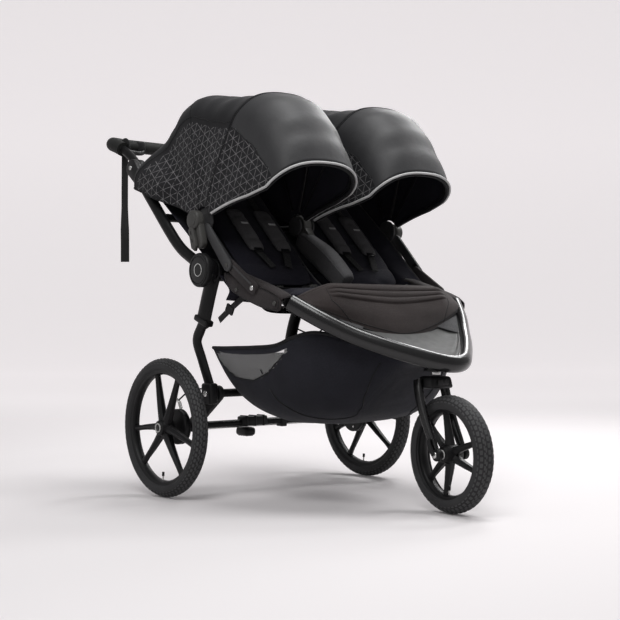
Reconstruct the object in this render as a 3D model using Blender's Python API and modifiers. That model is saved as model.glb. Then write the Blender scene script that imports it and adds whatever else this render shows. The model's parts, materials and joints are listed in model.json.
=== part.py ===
"""Side-by-side double jogging stroller, modelled as an assembly of separate parts.

Metres, +Z up. The child faces -Y, the parent stands at +Y, the child's right side is -X.
Places are written from the middle of the rear axle on the ground (the axle frame). The root
empty then moves everything along Y, so that the origin is the bottom centre of the whole box.
"""

import math

import bmesh
import bpy
from mathutils import Matrix, Vector

# Driving dimensions
REAR_TYRE_RADIUS = 0.200
REAR_TYRE_WIDTH = 0.044
REAR_WHEEL_X = 0.391
FRONT_TYRE_RADIUS = 0.1545
FRONT_TYRE_WIDTH = 0.054
FRONT_HUB_Y = -0.766
STEER_Y = -0.705
STEER_REST = math.radians(-6.7)
GRIP_Y = 0.408
GRIP_Z = 1.072
GRIP_RADIUS = 0.0185
FOLD = (-0.181, 0.647)
SUSPENSION = (-0.131, 0.300)
CANOPY_PIVOT = (-0.148, 0.789)
HANDLE_PIVOT = (0.205, 0.972)
RECLINE = (-0.288, 0.596)
BRACE_TOP = (-0.179, 0.764)
BRACE_KNEE = (-0.274, 0.657)
BRACE_FOOT = (-0.377, 0.592)
FORK_PIVOT = (-0.690, 0.330)
PEDAL_PIVOT = (0.0, 0.171)

# Where each layer of the side frame lies, measured out from the middle plane
RAIL_X = 0.318
LEG_X = 0.342
UPRIGHT_X = 0.368
HANDLE_X = 0.368
LOWER_LINK_X = 0.355
UPPER_LINK_X = 0.3645
SEAT_X = 0.1675
CANOPY_X = 0.1875
SWING_ARM_X = 0.297

TUBE_RADIUS = 0.0165
GAP = 0.0003

# The whole box runs from the front tyre to the back of the grip, and the origin is its middle
FRONT_END = STEER_Y + (FRONT_HUB_Y - STEER_Y) * math.cos(STEER_REST) - FRONT_TYRE_RADIUS
ORIGIN_Y = -(FRONT_END + GRIP_Y + GRIP_RADIUS) / 2

SIDES = (("right", -1), ("left", 1))


def empty_scene():
    for obj in list(bpy.data.objects):
        bpy.data.objects.remove(obj)


def new_collection(name):
    collection = bpy.data.collections.new(name)
    bpy.context.scene.collection.children.link(collection)
    return collection


empty_scene()
STROLLER = new_collection("double_jogging_stroller")
CUTTERS = new_collection("cutters")


def new_material(name, colour, roughness, metallic=0.0):
    material = bpy.data.materials.new(name)
    material.use_nodes = True
    shader = material.node_tree.nodes["Principled BSDF"]
    shader.inputs["Base Color"].default_value = (*colour, 1)
    shader.inputs["Roughness"].default_value = roughness
    shader.inputs["Metallic"].default_value = metallic
    return material


BLACK_PAINT = ("black_paint", (0.020, 0.020, 0.022), 0.35)
BLACK_PLASTIC = ("black_plastic", (0.028, 0.028, 0.030), 0.5)
GREY_PLASTIC = ("grey_plastic", (0.085, 0.085, 0.088), 0.45)
TYRE_RUBBER = ("tyre_rubber", (0.045, 0.045, 0.047), 0.8)
CANOPY_FABRIC = ("canopy_fabric", (0.030, 0.030, 0.032), 0.8)
SEAT_FABRIC = ("seat_fabric", (0.020, 0.020, 0.026), 0.85)
PANEL_FABRIC = ("panel_fabric", (0.040, 0.034, 0.034), 0.85)
BASKET_FABRIC = ("basket_fabric", (0.026, 0.027, 0.034), 0.85)
FOAM = ("foam_grip", (0.018, 0.018, 0.019), 0.9)
WEBBING = ("webbing", (0.020, 0.020, 0.021), 0.85)
STEEL = ("steel", (0.550, 0.550, 0.560), 0.3, 1.0)


def joint_empty(name, place, parent):
    """An empty on a joint's axis. place is in the axle frame."""
    empty = bpy.data.objects.new(name, None)
    STROLLER.objects.link(empty)
    empty.empty_display_size = 0.03
    empty.parent = parent
    empty["place"] = place
    empty.location = Vector(place) - Vector(parent["place"]) if parent else Vector(place)
    return empty


def hang(obj, joint):
    """Parents an object, and the cutters of its Booleans, to a joint's empty at its axle-frame place."""
    obj.parent = joint
    obj.location = Vector(obj.location) - Vector(joint["place"])
    for modifier in obj.modifiers:
        if modifier.type == "BOOLEAN":
            hang(modifier.object, joint)


def finish(obj, finish_of, joint, smooth=True):
    """Gives an object its material and hangs it on its joint's empty."""
    obj.data.materials.append(new_material(obj.name, *finish_of[1:]))
    hang(obj, joint)
    if obj.type == "MESH" and smooth:
        obj.data.shade_smooth()
        obj.data.set_sharp_from_angle(angle=math.radians(40))
    return obj


def mesh_object(name, bm, collection=None):
    bmesh.ops.recalc_face_normals(bm, faces=bm.faces)
    mesh = bpy.data.meshes.new(name)
    bm.to_mesh(mesh)
    bm.free()
    obj = bpy.data.objects.new(name, mesh)
    (collection or STROLLER).objects.link(obj)
    return obj


def smooth_path(points, per_span=4):
    """Points of a Catmull-Rom curve through the given ones."""
    points = [Vector(p) for p in points]
    ends = [2 * points[0] - points[1]] + points + [2 * points[-1] - points[-2]]
    path = []
    for a, b, c, d in zip(ends, ends[1:], ends[2:], ends[3:]):
        for step in range(per_span):
            t = step / per_span
            path.append(0.5 * (2 * b + (c - a) * t + (2 * a - 5 * b + 4 * c - d) * t * t
                               + (3 * b - a - 3 * c + d) * t ** 3))
    return path + [points[-1]]


def oval_guide(width, height, sides=10):
    """A hidden closed outline for tubes that aren't round: width across, height up."""
    outline = [(0.5 * width * math.cos(a), 0.5 * height * math.sin(a))
               for a in (2 * math.pi * i / sides for i in range(sides))]
    curve = bpy.data.curves.new("oval_guide", "CURVE")
    spline = curve.splines.new("POLY")
    spline.points.add(sides - 1)
    for point, (x, y) in zip(spline.points, outline):
        point.co = (x, y, 0, 1)
    spline.use_cyclic_u = True
    guide = bpy.data.objects.new("oval_guide", curve)
    CUTTERS.objects.link(guide)
    guide.hide_render = True
    guide.display_type = "WIRE"
    return guide


def tube(name, points, radius=TUBE_RADIUS, oval=None, scales=None, detail=1, twist="Z_UP"):
    """A tube along points. oval is (width, height), and scales thins it point by point."""
    curve = bpy.data.curves.new(name, "CURVE")
    curve.dimensions = "3D"
    curve.twist_mode = twist
    curve.use_fill_caps = True
    if oval:
        curve.bevel_mode = "OBJECT"
        curve.bevel_object = oval_guide(*oval)
    else:
        curve.bevel_depth = radius
        curve.bevel_resolution = detail
    spline = curve.splines.new("POLY")
    spline.points.add(len(points) - 1)
    for index, point in enumerate(points):
        spline.points[index].co = (*point, 1)
        spline.points[index].radius = scales[index] if scales else 1
    obj = bpy.data.objects.new(name, curve)
    STROLLER.objects.link(obj)
    return as_mesh(obj) if oval else obj


def as_mesh(curve_object):
    """The same tube as a welded mesh, so that it can be cut or joined."""
    graph = bpy.context.evaluated_depsgraph_get()
    mesh = bpy.data.meshes.new_from_object(curve_object.evaluated_get(graph))
    bm = bmesh.new()
    bm.from_mesh(mesh)
    bmesh.ops.remove_doubles(bm, verts=bm.verts, dist=0.00005)
    bmesh.ops.recalc_face_normals(bm, faces=bm.faces)
    bm.to_mesh(mesh)
    bm.free()
    name = curve_object.name
    place = curve_object.matrix_world.copy()
    bpy.data.objects.remove(curve_object)
    obj = bpy.data.objects.new(name, mesh)
    obj.matrix_world = place
    STROLLER.objects.link(obj)
    return obj


def cylinder(name, centre, radius, length, axis="X", sides=20, radius_end=None):
    bm = bmesh.new()
    bmesh.ops.create_cone(bm, cap_ends=True, segments=sides, radius1=radius,
                          radius2=radius if radius_end is None else radius_end, depth=length)
    turn = {"X": Matrix.Rotation(math.pi / 2, 4, "Y"), "Z": Matrix.Identity(4),
            "Y": Matrix.Rotation(-math.pi / 2, 4, "X")}[axis]
    bmesh.ops.transform(bm, matrix=Matrix.Translation(centre) @ turn, verts=bm.verts)
    return mesh_object(name, bm)


def box(name, centre, size, tilt=0.0, bevel=0.0, taper=1.0):
    """A box, tilted about X. taper narrows its top in X and Y."""
    bm = bmesh.new()
    bmesh.ops.create_cube(bm, size=1)
    for vert in bm.verts:
        if vert.co.z > 0:
            vert.co.x *= taper
            vert.co.y *= taper
    place = Matrix.Translation(centre) @ Matrix.Rotation(tilt, 4, "X") @ Matrix.Diagonal((*size, 1))
    bmesh.ops.transform(bm, matrix=place, verts=bm.verts)
    if bevel:
        bmesh.ops.bevel(bm, geom=bm.edges[:], offset=bevel, segments=2, affect="EDGES", profile=0.5)
    return mesh_object(name, bm)


def plate(name, outline, x, thickness, bevel=0.0):
    """A flat plate whose (y, z) outline stands at x, extruded to both sides."""
    curve = bpy.data.curves.new(name, "CURVE")
    curve.dimensions = "2D"
    curve.fill_mode = "BOTH"
    curve.extrude = thickness / 2 - bevel
    curve.bevel_depth = bevel
    curve.bevel_resolution = 1
    spline = curve.splines.new("POLY")
    spline.points.add(len(outline) - 1)
    for point, (y, z) in zip(spline.points, outline):
        point.co = (y, z, 0, 1)
    spline.use_cyclic_u = True
    obj = bpy.data.objects.new(name, curve)
    STROLLER.objects.link(obj)
    obj.matrix_world = Matrix(((0, 0, 1, x), (1, 0, 0, 0), (0, 1, 0, 0), (0, 0, 0, 1)))
    bpy.context.view_layer.update()
    mesh = as_mesh(obj)
    mesh.data.transform(mesh.matrix_world)
    mesh.matrix_world = Matrix.Identity(4)
    return mesh


def link_outline(start, end, radius_start, radius_end, steps=5):
    """The outline of a flat arm with round ends, as (y, z) points."""
    start, end = Vector(start), Vector(end)
    along = math.atan2(end.y - start.y, end.x - start.x)
    outline = []
    for i in range(steps + 1):
        angle = along + math.pi / 2 + math.pi * i / steps
        outline.append(start + radius_start * Vector((math.cos(angle), math.sin(angle))))
    for i in range(steps + 1):
        angle = along - math.pi / 2 + math.pi * i / steps
        outline.append(end + radius_end * Vector((math.cos(angle), math.sin(angle))))
    return [(p.x, p.y) for p in outline]


def hide_cutter(obj):
    obj.hide_render = True
    obj.display_type = "WIRE"
    STROLLER.objects.unlink(obj)
    CUTTERS.objects.link(obj)


def join(base, *others, operation="UNION"):
    """Booleans that join the others to base, or cut them from it."""
    for other in others:
        modifier = base.modifiers.new(other.name, "BOOLEAN")
        modifier.operation = operation
        modifier.solver = "EXACT"
        modifier.object = other
        hide_cutter(other)
    return base


def turned(name, profile, centre, steps=40):
    """A turned piece on an X axis: profile is (radius, distance along +X), outer side first at +X."""
    mesh = bpy.data.meshes.new(name)
    points = [(radius, 0, along) for radius, along in profile]
    count = len(points)
    mesh.from_pydata(points, [(i, (i + 1) % count) for i in range(count)], [])
    obj = bpy.data.objects.new(name, mesh)
    STROLLER.objects.link(obj)
    screw = obj.modifiers.new("turn", "SCREW")
    screw.angle = 2 * math.pi
    screw.steps = steps
    screw.render_steps = steps
    screw.use_merge_vertices = True
    screw.merge_threshold = 0.0001
    screw.use_normal_calculate = True
    obj.rotation_euler = (0, math.pi / 2, 0)
    obj.location = centre
    return obj


def mirrored(points):
    """A path for one side, continued back along the other side. The middle point comes last."""
    return points + [(-x, y, z) for x, y, z in reversed(points[:-1])]


def side_path(points, side, x):
    return [(side * x, y, z) for y, z in points]


# Joint empties, a tree that follows the bodies
ROOT = joint_empty("root", (0, 0, 0), None)
UPPER = joint_empty("fold_axis", (0, *FOLD), ROOT)
REAR = joint_empty("rear_fold_axis", (0, *FOLD), ROOT)
AXLE = joint_empty("suspension_axis", (0, *SUSPENSION), REAR)
PEDAL = joint_empty("pedal_axis", (0, *PEDAL_PIVOT), AXLE)
HANDLE = joint_empty("handle_axis", (0, *HANDLE_PIVOT), UPPER)
STEER = joint_empty("steer_axis", (0, STEER_Y, 0.34), ROOT)
FORK = joint_empty("fork_axis", (0, *FORK_PIVOT), STEER)
FRONT_WHEEL = joint_empty("front_wheel_axis", (0, FRONT_HUB_Y, FRONT_TYRE_RADIUS), FORK)


# Front frame
def build_front_frame():
    rim = mirrored([(0.313, -0.481, 0.5525), (0.268, -0.547, 0.508), (0.213, -0.609, 0.467),
                    (0.150, -0.676, 0.434), (0.087, -0.734, 0.408), (0.045, -0.766, 0.394),
                    (0.0, -0.777, 0.389)])
    finish(tube("front_tube", smooth_path(rim, 3), oval=(0.032, 0.044)), BLACK_PAINT, ROOT)
    for name, side in SIDES:
        path = smooth_path(side_path([FOLD, (-0.280, 0.6165), (-0.377, 0.588), (-0.480, 0.5530)], side, RAIL_X), 3)
        path = [Vector((side * (RAIL_X - 0.012 * (FOLD[0] - p.y) / 0.3), p.y, p.z)) for p in path[:-1]]
        rail = as_mesh(tube("seat_rail_" + name, path, 0.0135))
        knuckle = cylinder("rail_knuckle", (side * RAIL_X, *FOLD), 0.030, 0.019)
        finish(join(rail, knuckle), BLACK_PAINT, ROOT)
        cover = plate("side_cover_" + name, [(-0.235, 0.640), (-0.300, 0.622), (-0.400, 0.592), (-0.470, 0.566),
                                            (-0.478, 0.530), (-0.420, 0.535), (-0.330, 0.562), (-0.272, 0.585),
                                            (-0.240, 0.613)], side * 0.3475, 0.003)
        finish(cover, PANEL_FABRIC, ROOT, smooth=False)
        pad = box("seat_pad_" + name, (side * SEAT_X, -0.400, 0.571), (0.240, 0.170, 0.022), bevel=0.010)
        finish(pad, SEAT_FABRIC, ROOT)
        buckle = box("harness_buckle_" + name, (side * SEAT_X, -0.395, 0.5915), (0.052, 0.044, 0.014), bevel=0.004)
        finish(buckle, BLACK_PLASTIC, ROOT)
    dropped = [(-0.2965, -0.300, 0.6085), (-0.282, -0.300, 0.600), (-0.268, -0.300, 0.570), (-0.245, -0.300, 0.541),
               (-0.150, -0.300, 0.536)]
    dropped = dropped + [(0, -0.300, 0.536)]
    cross = as_mesh(tube("seat_crossframe", smooth_path(mirrored(dropped), 3), 0.011))
    front = as_mesh(tube("front_cross", [(-0.293, -0.462, 0.5405), (0.293, -0.462, 0.5405)], 0.011))
    middle = as_mesh(tube("middle_rail", [(0, -0.300, 0.537), (0, -0.462, 0.541)], 0.0105))
    finish(join(cross, front, middle), BLACK_PAINT, ROOT)


def build_leg_rest():
    """The curved calf panel that hangs from the seat's front edge to the inside of the front tube."""
    bm = bmesh.new()
    rows = []
    across = [(-1 + 2 * i / 12) for i in range(13)]
    for s in across:
        x = 0.292 * s
        drop = 0.142 * (1 - abs(s) ** 1.5 * 0.80)
        reach = 0.070 * (1 - abs(s) ** 1.6)
        bottom_y = -0.522 - reach
        row = []
        for t in (0.0, 0.12, 0.35, 0.65, 1.0):
            y = -0.517 + (bottom_y + 0.517) * t - 0.012 * math.sin(math.pi * t)
            z = 0.598 - drop * t
            row.append(bm.verts.new((x, y, z)))
        rows.append(row)
    for left, right in zip(rows, rows[1:]):
        for i in range(4):
            bm.faces.new((left[i], left[i + 1], right[i + 1], right[i]))
    panel = mesh_object("leg_rest_panel", bm)
    solid = panel.modifiers.new("cloth", "SOLIDIFY")
    solid.thickness = 0.006
    solid.offset = 0
    finish(panel, PANEL_FABRIC, ROOT)


def build_foot_plate():
    half = [(0.178, 0.0), (0.150, 0.045), (0.105, 0.098), (0.060, 0.137), (0.030, 0.150), (0.0, 0.154)]
    outline = [(x, -d) for x, d in half] + [(-x, -d) for x, d in reversed(half[:-1])]
    outline += [(-0.160, 0.004), (0.160, 0.004)]
    curve = bpy.data.curves.new("foot_plate", "CURVE")
    curve.dimensions = "2D"
    curve.fill_mode = "BOTH"
    curve.extrude = 0.004
    spline = curve.splines.new("POLY")
    spline.points.add(len(outline) - 1)
    for point, (x, y) in zip(spline.points, outline):
        point.co = (x, y, 0, 1)
    spline.use_cyclic_u = True
    obj = bpy.data.objects.new("foot_plate", curve)
    STROLLER.objects.link(obj)
    obj.matrix_world = Matrix.Translation((0, -0.604, 0.4530)) @ Matrix.Rotation(math.radians(24), 4, "X")
    bpy.context.view_layer.update()
    plate_mesh = as_mesh(obj)
    plate_mesh.data.transform(plate_mesh.matrix_world)
    plate_mesh.matrix_world = Matrix.Identity(4)
    finish(plate_mesh, GREY_PLASTIC, ROOT, smooth=False)


def build_basket():
    """An open sling: U-shaped sections from the rear wall to the nose."""
    stations = [(-0.118, 0.298, 0.430, 0.424), (-0.135, 0.298, 0.432, 0.360), (-0.165, 0.298, 0.436, 0.298),
                (-0.215, 0.298, 0.444, 0.262), (-0.300, 0.297, 0.462, 0.246), (-0.390, 0.290, 0.480, 0.245),
                (-0.450, 0.278, 0.500, 0.250), (-0.505, 0.254, 0.496, 0.264), (-0.555, 0.214, 0.466, 0.292),
                (-0.605, 0.165, 0.440, 0.324), (-0.645, 0.118, 0.418, 0.352), (-0.675, 0.076, 0.402, 0.394)]
    bm = bmesh.new()
    rows = []
    for y, half, top, bottom in stations:
        row = []
        for i in range(13):
            angle = math.pi * i / 12
            x = -half * math.copysign(abs(math.cos(angle)) ** 0.55, math.cos(angle))
            z = top - (top - bottom) * abs(math.sin(angle)) ** 0.7
            row.append(bm.verts.new((x, y, z)))
        rows.append(row)
    for a, b in zip(rows, rows[1:]):
        for i in range(12):
            bm.faces.new((a[i], a[i + 1], b[i + 1], b[i]))
    basket = mesh_object("basket", bm)
    solid = basket.modifiers.new("cloth", "SOLIDIFY")
    solid.thickness = 0.003
    solid.offset = 0
    finish(basket, BASKET_FABRIC, ROOT)


def build_steering_head():
    flange = cylinder("steering_head", (0, STEER_Y, 0.3725), 0.030, 0.007, "Z")
    stem = cylinder("stem", (0, STEER_Y, 0.3655), 0.013, 0.013, "Z", 24)
    arm = box("head_arm", (0, -0.728, 0.3725), (0.036, 0.050, 0.007), bevel=0.001)
    finish(join(flange, stem, arm), BLACK_PLASTIC, ROOT)


# Upper frame
def build_upper_frame():
    for name, side in SIDES:
        path = smooth_path(side_path([FOLD, (-0.110, 0.682), (-0.0286, 0.733), (0.104, 0.867), (0.172, 0.938)],
                                     side, UPRIGHT_X), 3)
        path[0] = Vector((side * UPRIGHT_X, FOLD[0] + 0.004, FOLD[1] + 0.002))
        upright = as_mesh(tube("upright_" + name, path, 0.0150))
        knuckle = cylinder("upright_knuckle", (side * UPRIGHT_X, *FOLD), 0.034, 0.018)
        top = plate("upright_top", link_outline((0.160, 0.926), HANDLE_PIVOT, 0.014, 0.024), side * UPRIGHT_X, 0.017)
        finish(join(upright, knuckle, top), BLACK_PAINT, UPPER)
        disc = cylinder("hinge_disc_" + name, (side * 0.3915, *FOLD), 0.0475, 0.015, sides=28,
                        radius_end=0.044 if side > 0 else None)
        if side < 0:
            for vert in disc.data.vertices:
                if vert.co.x < -0.3915:
                    vert.co.y = FOLD[0] + (vert.co.y - FOLD[0]) * 0.926
                    vert.co.z = FOLD[1] + (vert.co.z - FOLD[1]) * 0.926
        finish(disc, BLACK_PLASTIC, UPPER)
        knob = cylinder("canopy_mount_" + name, (side * 0.384, *CANOPY_PIVOT), 0.026, 0.028)
        arm = plate("mount_arm", link_outline(CANOPY_PIVOT, (-0.170, 0.722), 0.022, 0.017), side * 0.381, 0.018)
        bracket = plate("mount_bracket", link_outline((-0.170, 0.722), (-0.118, 0.710), 0.014, 0.012),
                        side * 0.3765, 0.008)
        finish(join(knob, arm, bracket), GREY_PLASTIC, UPPER)
    cross = as_mesh(tube("upper_crossframe", [(-0.3527, 0.048, 0.811), (0.3527, 0.048, 0.811)], 0.012))
    post = as_mesh(tube("post", smooth_path([(0, 0.048, 0.811), (0, -0.030, 0.790), (0, -0.112, 0.786)], 3), 0.010))
    finish(join(cross, post), BLACK_PAINT, UPPER)
    hub = cylinder("canopy_mount_centre", (0, *CANOPY_PIVOT), 0.032, 0.028)
    nose = plate("mount_nose", link_outline(CANOPY_PIVOT, (-0.176, 0.762), 0.020, 0.016), 0, 0.024)
    finish(join(hub, nose), GREY_PLASTIC, UPPER)
    sleeve = tube("centre_sleeve", smooth_path([(0, -0.200, 0.738), (0, -0.262, 0.690), (0, -0.340, 0.628)], 3),
                  oval=(0.040, 0.060))
    finish(sleeve, SEAT_FABRIC, UPPER)


def build_seat_back(name, side):
    axis = joint_empty("recline_axis_" + name, (side * SEAT_X, *RECLINE), UPPER)
    lean = math.radians(45)
    back = box("seat_back_" + name, (side * SEAT_X, -0.091, 0.793), (0.220, 0.510, 0.018), tilt=lean, bevel=0.006)
    finish(back, SEAT_FABRIC, axis)
    harness = tube("shoulder_harness_" + name,
                   smooth_path([(side * SEAT_X, -0.050, 0.8585), (side * SEAT_X, -0.150, 0.7585),
                                (side * SEAT_X, -0.262, 0.6465)], 2), oval=(0.110, 0.014))
    finish(harness, SEAT_FABRIC, axis)


def canopy_profile(half_width, radius, hub):
    """Half of a canopy's cross-section, from the hub up the flat side and over the crown."""
    points = [(half_width, hub), (half_width, radius * 0.40), (half_width * 0.995, radius * 0.74)]
    for i in range(1, 7):
        a = math.radians(15 * i)
        points.append((half_width * (0.995 * math.cos(a) ** 0.55), radius * (0.74 + 0.26 * math.sin(a) ** 0.9)))
    return points[:-1] + [(0.0, radius)]


def canopy_ring(half_width, radius, hub):
    half = canopy_profile(half_width, radius, hub)
    return half + [(-x, r) for x, r in reversed(half[:-1])]


def fan_shell(name, centre_x, ring, start, end, steps, thickness):
    """A cloth shell turned about the canopy's pivot from one angle to another, in degrees from +Y."""
    bm = bmesh.new()
    a = math.radians(start)
    verts = [bm.verts.new((centre_x + x, CANOPY_PIVOT[0] + r * math.cos(a), CANOPY_PIVOT[1] + r * math.sin(a)))
             for x, r in ring]
    edges = [bm.edges.new(pair) for pair in zip(verts, verts[1:])]
    bmesh.ops.spin(bm, geom=verts + edges, cent=(centre_x, *CANOPY_PIVOT), axis=(1, 0, 0),
                   angle=math.radians(end - start), steps=steps, use_duplicate=False)
    shell = mesh_object(name, bm)
    solid = shell.modifiers.new("cloth", "SOLIDIFY")
    solid.thickness = thickness
    solid.offset = 0
    return shell


def bow_path(centre_x, ring, angle):
    a = math.radians(angle)
    return smooth_path([(centre_x + x, CANOPY_PIVOT[0] + r * math.cos(a), CANOPY_PIVOT[1] + r * math.sin(a))
                        for x, r in ring], 1)


def build_canopy(name, side):
    centre = side * CANOPY_X
    hub = joint_empty("canopy_hub_axis_" + name, (centre, *CANOPY_PIVOT), UPPER)
    front = joint_empty("canopy_front_axis_" + name, (centre, *CANOPY_PIVOT), hub)
    rear_ring = canopy_ring(0.1740, 0.352, 0.048)
    rear = fan_shell("canopy_rear_" + name, centre, rear_ring, 31, 107, 6, 0.0025)
    finish(rear, CANOPY_FABRIC, UPPER)
    mid = tube("canopy_mid_bow_" + name, bow_path(centre, canopy_ring(0.1540, 0.331, 0.036), 104), 0.004, detail=1)
    finish(mid, BLACK_PLASTIC, hub)
    visor = fan_shell("canopy_front_" + name, centre, canopy_ring(0.1800, 0.361, 0.048), 104, 156, 4, 0.0025)
    finish(visor, CANOPY_FABRIC, front)
    bow = tube("canopy_front_bow_" + name, bow_path(centre, canopy_ring(0.1630, 0.340, 0.036), 153), 0.004, detail=1)
    finish(bow, BLACK_PLASTIC, front)


def build_handlebar():
    half = [(HANDLE_X - 0.023, 0.212, 0.979), (HANDLE_X - 0.023, 0.262, 1.018), (HANDLE_X - 0.024, 0.320, 1.050),
            (HANDLE_X - 0.034, 0.375, 1.068), (HANDLE_X - 0.066, 0.404, GRIP_Z)]
    for name, side in SIDES:
        arm = as_mesh(tube("handle_arm_" + name, smooth_path([(side * x, y, z) for x, y, z in half], 3), 0.0135))
        hub = cylinder("handle_hub", (side * (HANDLE_X - 0.019), *HANDLE_PIVOT), 0.026, 0.019)
        finish(join(arm, hub), BLACK_PAINT, HANDLE)
    reach = HANDLE_X - 0.066 - 0.010
    grip = tube("handle_grip", [(-reach, GRIP_Y, GRIP_Z), (-0.10, GRIP_Y, GRIP_Z), (0.10, GRIP_Y, GRIP_Z),
                                (reach, GRIP_Y, GRIP_Z)], GRIP_RADIUS, detail=3)
    finish(grip, FOAM, HANDLE)
    strap = tube("wrist_strap", smooth_path([(-0.330, 0.318, 1.0315), (-0.330, 0.319, 0.98), (-0.330, 0.320, 0.90),
                                             (-0.330, 0.320, 0.82), (-0.330, 0.319, 0.76),
                                             (-0.330, 0.319, 0.694)], 1), oval=(0.004, 0.022),
                 twist="MINIMUM")
    finish(strap, WEBBING, HANDLE)


def build_brace(name, side):
    upper = joint_empty("upper_brace_axis_" + name, (side * UPPER_LINK_X, *BRACE_TOP), UPPER)
    lower = joint_empty("lower_brace_axis_" + name, (side * LOWER_LINK_X, *BRACE_FOOT), ROOT)
    arm = plate("upper_brace_" + name, link_outline(BRACE_TOP, BRACE_KNEE, 0.013, 0.012), side * UPPER_LINK_X, 0.008)
    finish(arm, GREY_PLASTIC, upper)
    foot = plate("lower_brace_" + name, link_outline(BRACE_KNEE, BRACE_FOOT, 0.012, 0.012), side * LOWER_LINK_X, 0.008)
    finish(foot, GREY_PLASTIC, lower)


# Rear frame
def build_rear_frame():
    for name, side in SIDES:
        spine = [(LEG_X, -0.178, 0.640), (LEG_X, -0.160, 0.600), (LEG_X - 0.001, -0.128, 0.520),
                 (LEG_X - 0.002, -0.120, 0.500), (LEG_X - 0.003, -0.112, 0.488), (LEG_X - 0.006, -0.084, 0.448),
                 (LEG_X - 0.012, -0.098, 0.400), (LEG_X - 0.016, -0.118, 0.350), (LEG_X - 0.021, -0.131, 0.316)]
        scales = [1.0, 1.0, 1.0, 0.96, 0.68, 0.66, 0.62, 0.62, 0.62]
        leg = tube("rear_leg_" + name, [(side * x, y, z) for x, y, z in spine], oval=(0.019, 0.058),
                   scales=scales)
        knuckle = cylinder("leg_knuckle", (side * LEG_X, *FOLD), 0.033, 0.018)
        block = box("suspension_block", (side * 0.326, *SUSPENSION), (0.026, 0.042, 0.054), bevel=0.005)
        finish(join(leg, knuckle, block), BLACK_PAINT, REAR)
    pivot = as_mesh(tube("rear_crossframe", [(-0.303, *FOLD), (0.303, *FOLD)], 0.012))
    low = as_mesh(tube("low_cross", [(-0.3125, *SUSPENSION), (0.3125, *SUSPENSION)], 0.012))
    centre = as_mesh(tube("centre_leg", smooth_path([(0, *FOLD), (0, -0.150, 0.580), (0, -0.112, 0.505),
                                                     (0, -0.092, 0.440), (0, -0.092, 0.370),
                                                     (0, *SUSPENSION)], 3), 0.0165))
    finish(join(pivot, low, centre), BLACK_PAINT, REAR)


def build_axle():
    bar = as_mesh(tube("axle_frame", [(-0.3295, 0, REAR_TYRE_RADIUS), (0.3295, 0, REAR_TYRE_RADIUS)], 0.010))
    pieces = []
    for name, side in SIDES:
        arm = plate("swing_arm", link_outline(SUSPENSION, (0, REAR_TYRE_RADIUS), 0.022, 0.017),
                    side * SWING_ARM_X, 0.016)
        bore = cylinder("swing_bore", (side * SWING_ARM_X, *SUSPENSION), 0.0124, 0.04)
        pieces.append(join(arm, bore, operation="DIFFERENCE"))
        drum = cylinder("brake_drum_" + name, (side * 0.3425, 0, REAR_TYRE_RADIUS), 0.051, 0.024, sides=24)
        finish(drum, BLACK_PLASTIC, AXLE)
    bracket = box("brake_bracket", (-0.075, 0, 0.205), (0.090, 0.030, 0.026), bevel=0.003)
    clip = box("rod_clip", (0.040, 0, 0.197), (0.020, 0.026, 0.028), bevel=0.003)
    pieces += [bracket, clip]
    finish(join(bar, *pieces), BLACK_PAINT, AXLE)
    rod = tube("brake_rod", [(-0.318, 0.0305, 0.186), (0.318, 0.0305, 0.186)], 0.0025, detail=1)
    finish(rod, STEEL, AXLE)
    pedal = box("brake_pedal", (-0.098, 0.004, 0.1745), (0.034, 0.052, 0.024), bevel=0.007)
    finish(pedal, BLACK_PLASTIC, PEDAL)


# Wheels
def tyre_profile(radius, width):
    """The tyre's section: a round tread on flat walls, and a bead that sits on the rim."""
    bead = radius - 0.036
    half = width / 2
    mid = radius - half
    points = [(bead, half * 0.62), (mid - half * 0.2, half * 0.97)]
    for i in range(5):
        a = math.pi * i / 4
        points.append((mid + half * 1.0 * math.sin(a), half * math.cos(a)))
    points += [(mid - half * 0.2, -half * 0.97), (bead, -half * 0.62)]
    return points


def spoke(name, centre, angle, inner, outer, width, depth):
    bm = bmesh.new()
    bmesh.ops.create_cube(bm, size=1)
    for vert in bm.verts:
        if vert.co.z < 0:
            vert.co.y *= 1.5
            vert.co.x *= 1.25
    place = (Matrix.Translation(centre) @ Matrix.Rotation(angle, 4, "X")
             @ Matrix.Translation((0, 0, (inner + outer) / 2)) @ Matrix.Diagonal((depth, width, outer - inner, 1)))
    bmesh.ops.transform(bm, matrix=place, verts=bm.verts)
    return mesh_object(name, bm)


def build_wheel(name, centre, radius, width, hub_radius, hub_length, joint, lean):
    tyre = turned("tyre_" + name, tyre_profile(radius, width), centre, 36)
    finish(tyre, TYRE_RUBBER, joint)
    seat = radius - 0.036 - GAP
    rim_profile = [(seat - 0.009, 0.011), (seat, 0.013), (seat, -0.013), (seat - 0.009, -0.011)]
    rim = turned("rim_" + name, rim_profile, centre, 36)
    hub = cylinder("hub", centre, hub_radius, hub_length, sides=16)
    spokes = []
    for pair in range(3):
        for spread in (-20, 20):
            spokes.append(spoke("spoke", centre, math.radians(lean + 120 * pair + spread),
                                hub_radius * 0.7, seat - 0.0045, 0.0132, 0.0108))
    finish(join(rim, hub, *spokes), BLACK_PLASTIC, joint)


def build_fork():
    crown = box("fork_crown", (0, STEER_Y, 0.341), (0.074, 0.062, 0.030), bevel=0.006, taper=0.9)
    stem = cylinder("crown_stem", (0, STEER_Y, 0.357), 0.0095, 0.0035, "Z", 24)
    finish(join(crown, stem), BLACK_PLASTIC, STEER)
    for name, side in SIDES:
        outline = link_outline(FORK_PIVOT, (FRONT_HUB_Y, FRONT_TYRE_RADIUS), 0.015, 0.015)
        leg = plate("fork_leg_" + name, outline, side * 0.0445, 0.012, bevel=0.002)
        finish(leg, BLACK_PAINT, FORK)


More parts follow.
